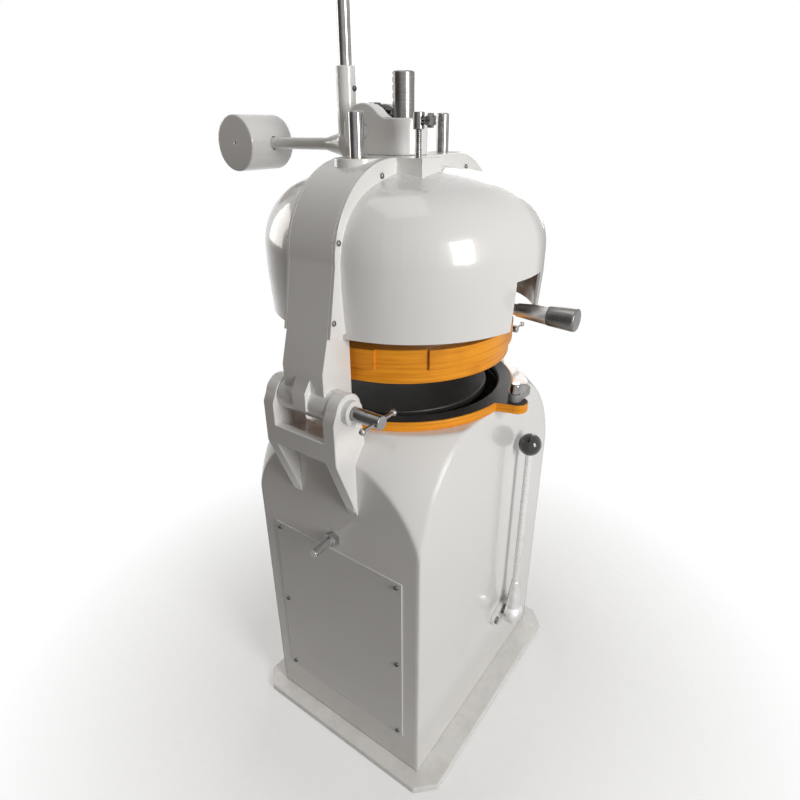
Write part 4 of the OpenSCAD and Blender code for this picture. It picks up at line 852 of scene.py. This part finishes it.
bpy.ops.object.select_all(action="DESELECT")
bpy.ops.mesh.primitive_circle_add(vertices=3, radius=RIDGE_R, fill_type="NOTHING", location=(0, 0, 0),
                                  rotation=(math.radians(90), math.radians(90), 0))
ridge = bpy.context.object
bpy.ops.object.transform_apply(location=True, rotation=True)
reach = max(v.co.x for v in ridge.data.vertices)
edit(ridge)
bpy.ops.mesh.select_all(action="SELECT")
bpy.ops.transform.translate(value=(CREST_R - reach, 0, THREAD_FROM))
bpy.ops.object.mode_set(mode="OBJECT")
wind = ridge.modifiers.new("wind", "SCREW")
wind.axis = "Z"
wind.angle = math.radians(360)
wind.screw_offset = PITCH
wind.iterations = TURNS
wind.steps = wind.render_steps = STEPS
bpy.ops.object.modifier_apply(modifier="wind")
print("ridge", [round(v, 4) for v in ridge.dimensions])

# %% Join core and thread
activate(core)
ridge.select_set(True)
bpy.ops.object.join()
edit(core)
bpy.ops.mesh.select_all(action="SELECT")
bpy.ops.mesh.normals_make_consistent(inside=False)
bpy.ops.object.mode_set(mode="OBJECT")
set_down(core, rod_axis, smooth=30)
hand_over(core, "stop_rod")
print("threaded rod faces:", len(core.data.polygons))

# %% [markdown]
# ## Star knob
# A small knob locks the sleeve on the rod. It starts as a cylinder, and every second group of its
# side is pulled in, which leaves lobes for the fingers. Its top is dished, the shank is extruded
# from its back, and a bevel softens it.

# %% Model the star knob
KNOB_R, KNOB_T = 0.0110, 0.009
LOBE_STEPS, RIM_POINTS = 6, 36
VALLEY_SHARE, VALLEY_FLOOR_SHARE = 0.84, 0.93
DISH_INSET, DISH_DEPTH = 0.0030, 0.0012
SHANK_INSET, KNOB_SHANK_L = 0.0058, 0.0125
KNOB_EDGE, KNOB_EDGE_FROM = 0.0009, math.radians(40)


def lobe_step(v):
    return round(math.degrees(math.atan2(v.co.y, v.co.x)) * RIM_POINTS / 360) % LOBE_STEPS


bpy.ops.object.select_all(action="DESELECT")
bpy.ops.mesh.primitive_cylinder_add(vertices=RIM_POINTS, radius=KNOB_R, depth=KNOB_T, location=(0, 0, 0))
knob = bpy.context.object
knob.name = "star_knob"
edit(knob)
pick(knob, "VERT", lambda v: lobe_step(v) in (0, 1, LOBE_STEPS - 1))
bpy.ops.transform.resize(value=(VALLEY_SHARE, VALLEY_SHARE, 1), center_override=(0, 0, 0))
pick(knob, "VERT", lambda v: lobe_step(v) == 0)
bpy.ops.transform.resize(value=(VALLEY_FLOOR_SHARE, VALLEY_FLOOR_SHARE, 1), center_override=(0, 0, 0))
pick(knob, "FACE", looks_up)
bpy.ops.mesh.inset(thickness=DISH_INSET)
raise_by(-DISH_DEPTH)
pick(knob, "FACE", looks_down)
bpy.ops.mesh.inset(thickness=SHANK_INSET)
raise_by(-KNOB_SHANK_L)
bpy.ops.object.mode_set(mode="OBJECT")
print("star knob faces:", len(knob.data.polygons))

# %% Round the knob and set it down
rounding = knob.modifiers.new("rounding", "BEVEL")
rounding.width = KNOB_EDGE
rounding.segments = 3
rounding.limit_method = "ANGLE"
rounding.angle_limit = KNOB_EDGE_FROM
bpy.ops.object.modifier_apply(modifier="rounding")
low, high, middle = box("thumb_screw")
set_down(knob, (middle.x, low.y + KNOB_T / 2, middle.z), TO_THE_FRONT)
hand_over(knob, "thumb_screw")
knob.data.materials[0] = finish["steel"]
print("star knob", [round(v, 4) for v in knob.dimensions])

# %% [markdown]
# ## Ball of the rounding lever
# The hand holds the rounding lever by a black ball, which has a small flat with a recess where the
# rod goes in. A sphere is bisected near its foot, and the flat is inset and pressed in.

# %% Ball of the rounding lever
BALL_R, BALL_FLAT = 0.025, 0.0229
RECESS, FLAT_BAND = 0.0012, 0.0004

bpy.ops.object.select_all(action="DESELECT")
bpy.ops.mesh.primitive_uv_sphere_add(segments=48, ring_count=24, radius=BALL_R, location=(0, 0, 0))
ball = bpy.context.object
ball.name = "black_ball"
edit(ball)
bpy.ops.mesh.select_all(action="SELECT")
bpy.ops.mesh.bisect(plane_co=(0, 0, -BALL_FLAT), plane_no=(0, 0, 1), clear_inner=True, use_fill=True)
pick(ball, "FACE", lambda face: looks_down(face) and face.calc_center_median().z < FLAT_BAND - BALL_FLAT)
bpy.ops.mesh.inset(thickness=RECESS)
raise_by(RECESS)
bpy.ops.object.mode_set(mode="OBJECT")
low, high, middle = box("lever_ball")
set_down(ball, (middle.x, middle.y, high.z - BALL_R))
hand_over(ball, "lever_ball")
print("ball", [round(v, 4) for v in ball.dimensions])

# %% [markdown]
# ## Boss of the rounding lever
# At its foot the rounding lever swells into a full, rounded boss that covers the end of its shaft.
# It is one turned cap, built from the back to the front like the other turned pieces, laid on its
# side and joined to the lever.

# %% Boss at the lever's foot
BOSS_OUTLINE = [(0.0235, 0.0), (0.0270, 0.0012), (0.0285, 0.0050), (0.0285, 0.0150), (0.0274, 0.0215),
                (0.0248, 0.0275), (0.0205, 0.0325), (0.0145, 0.0358), (0.0065, 0.0372)]
BOSS_BACK, BOSS_Z = 0.0132, 0.206

boss = turned("lever_boss", BOSS_OUTLINE)
low, high, middle = box("lever_ball")
set_down(boss, (middle.x, middle.y + BOSS_BACK, BOSS_Z), TO_THE_FRONT, smooth=40)
lever = bpy.data.objects["rounding_lever_edged"]
boss.data.materials.append(lever.data.materials[0])
activate(lever)
boss.select_set(True)
bpy.ops.object.join()
print("lever with boss", [round(v, 4) for v in lever.dimensions])

# %% [markdown]
# ## Grip of the press lever
# The long press lever ends in a ribbed black grip. It is a turned piece, so it needs only its
# outline: a rounded foot, nine grooves that a loop adds one after the other, and a rounded top.

# %% Grip of the press lever
GRIP_R, GROOVE_R = 0.0168, 0.0153
GRIP_FOOT = [(0.0135, 0.0002), (0.0158, 0.0010), (GRIP_R, 0.0035), (GRIP_R, 0.0090)]
GRIP_TOP = [(GRIP_R, 0.1180), (0.0160, 0.1220), (0.0142, 0.1248), (0.0110, 0.1258)]
FIRST_GROOVE, GROOVES, GROOVE_STEP = 0.0110, 9, 0.0112
GROOVE_W, GROOVE_SLOPE, RIB_END = 0.0022, 0.0042, 0.0092

ribs = []
for groove in range(GROOVES):
    start = FIRST_GROOVE + groove * GROOVE_STEP
    ribs += [(GROOVE_R, start), (GROOVE_R, start + GROOVE_W)]
    ribs += [(GRIP_R, start + GROOVE_SLOPE), (GRIP_R, start + RIB_END)]
grip = turned("ribbed_grip", GRIP_FOOT + ribs + GRIP_TOP)
low, high, middle = box("hand_grip")
set_down(grip, (middle.x, middle.y, low.z), smooth=40)
hand_over(grip, "hand_grip")
print("grip", [round(v, 4) for v in grip.dimensions])

# %% [markdown]
# ## Sleeve of the cam handle
# The handle that turns the cam ring ends in a darker steel sleeve, which carries on the stem's taper
# and has a crisp rounded end. It is turned from the stem outward and laid on its side.

# %% Sleeve of the cam handle
SLEEVE_OUTLINE = [(0.0168, 0.0001), (0.0177, 0.0004), (0.0181, 0.0030), (0.0205, 0.0460), (0.0204, 0.0482),
                  (0.0198, 0.0498), (0.0188, 0.0506), (0.0172, 0.0508), (0.0080, 0.0508)]

sleeve = turned("handle_grip_sleeve", SLEEVE_OUTLINE, sides=56)
low, high, middle = box("handle_sleeve")
set_down(sleeve, (middle.x, high.y, middle.z), TO_THE_FRONT, smooth=40)
hand_over(sleeve, "handle_sleeve")
sleeve.data.materials[0] = finish["steel"]
print("sleeve", [round(v, 4) for v in sleeve.dimensions])
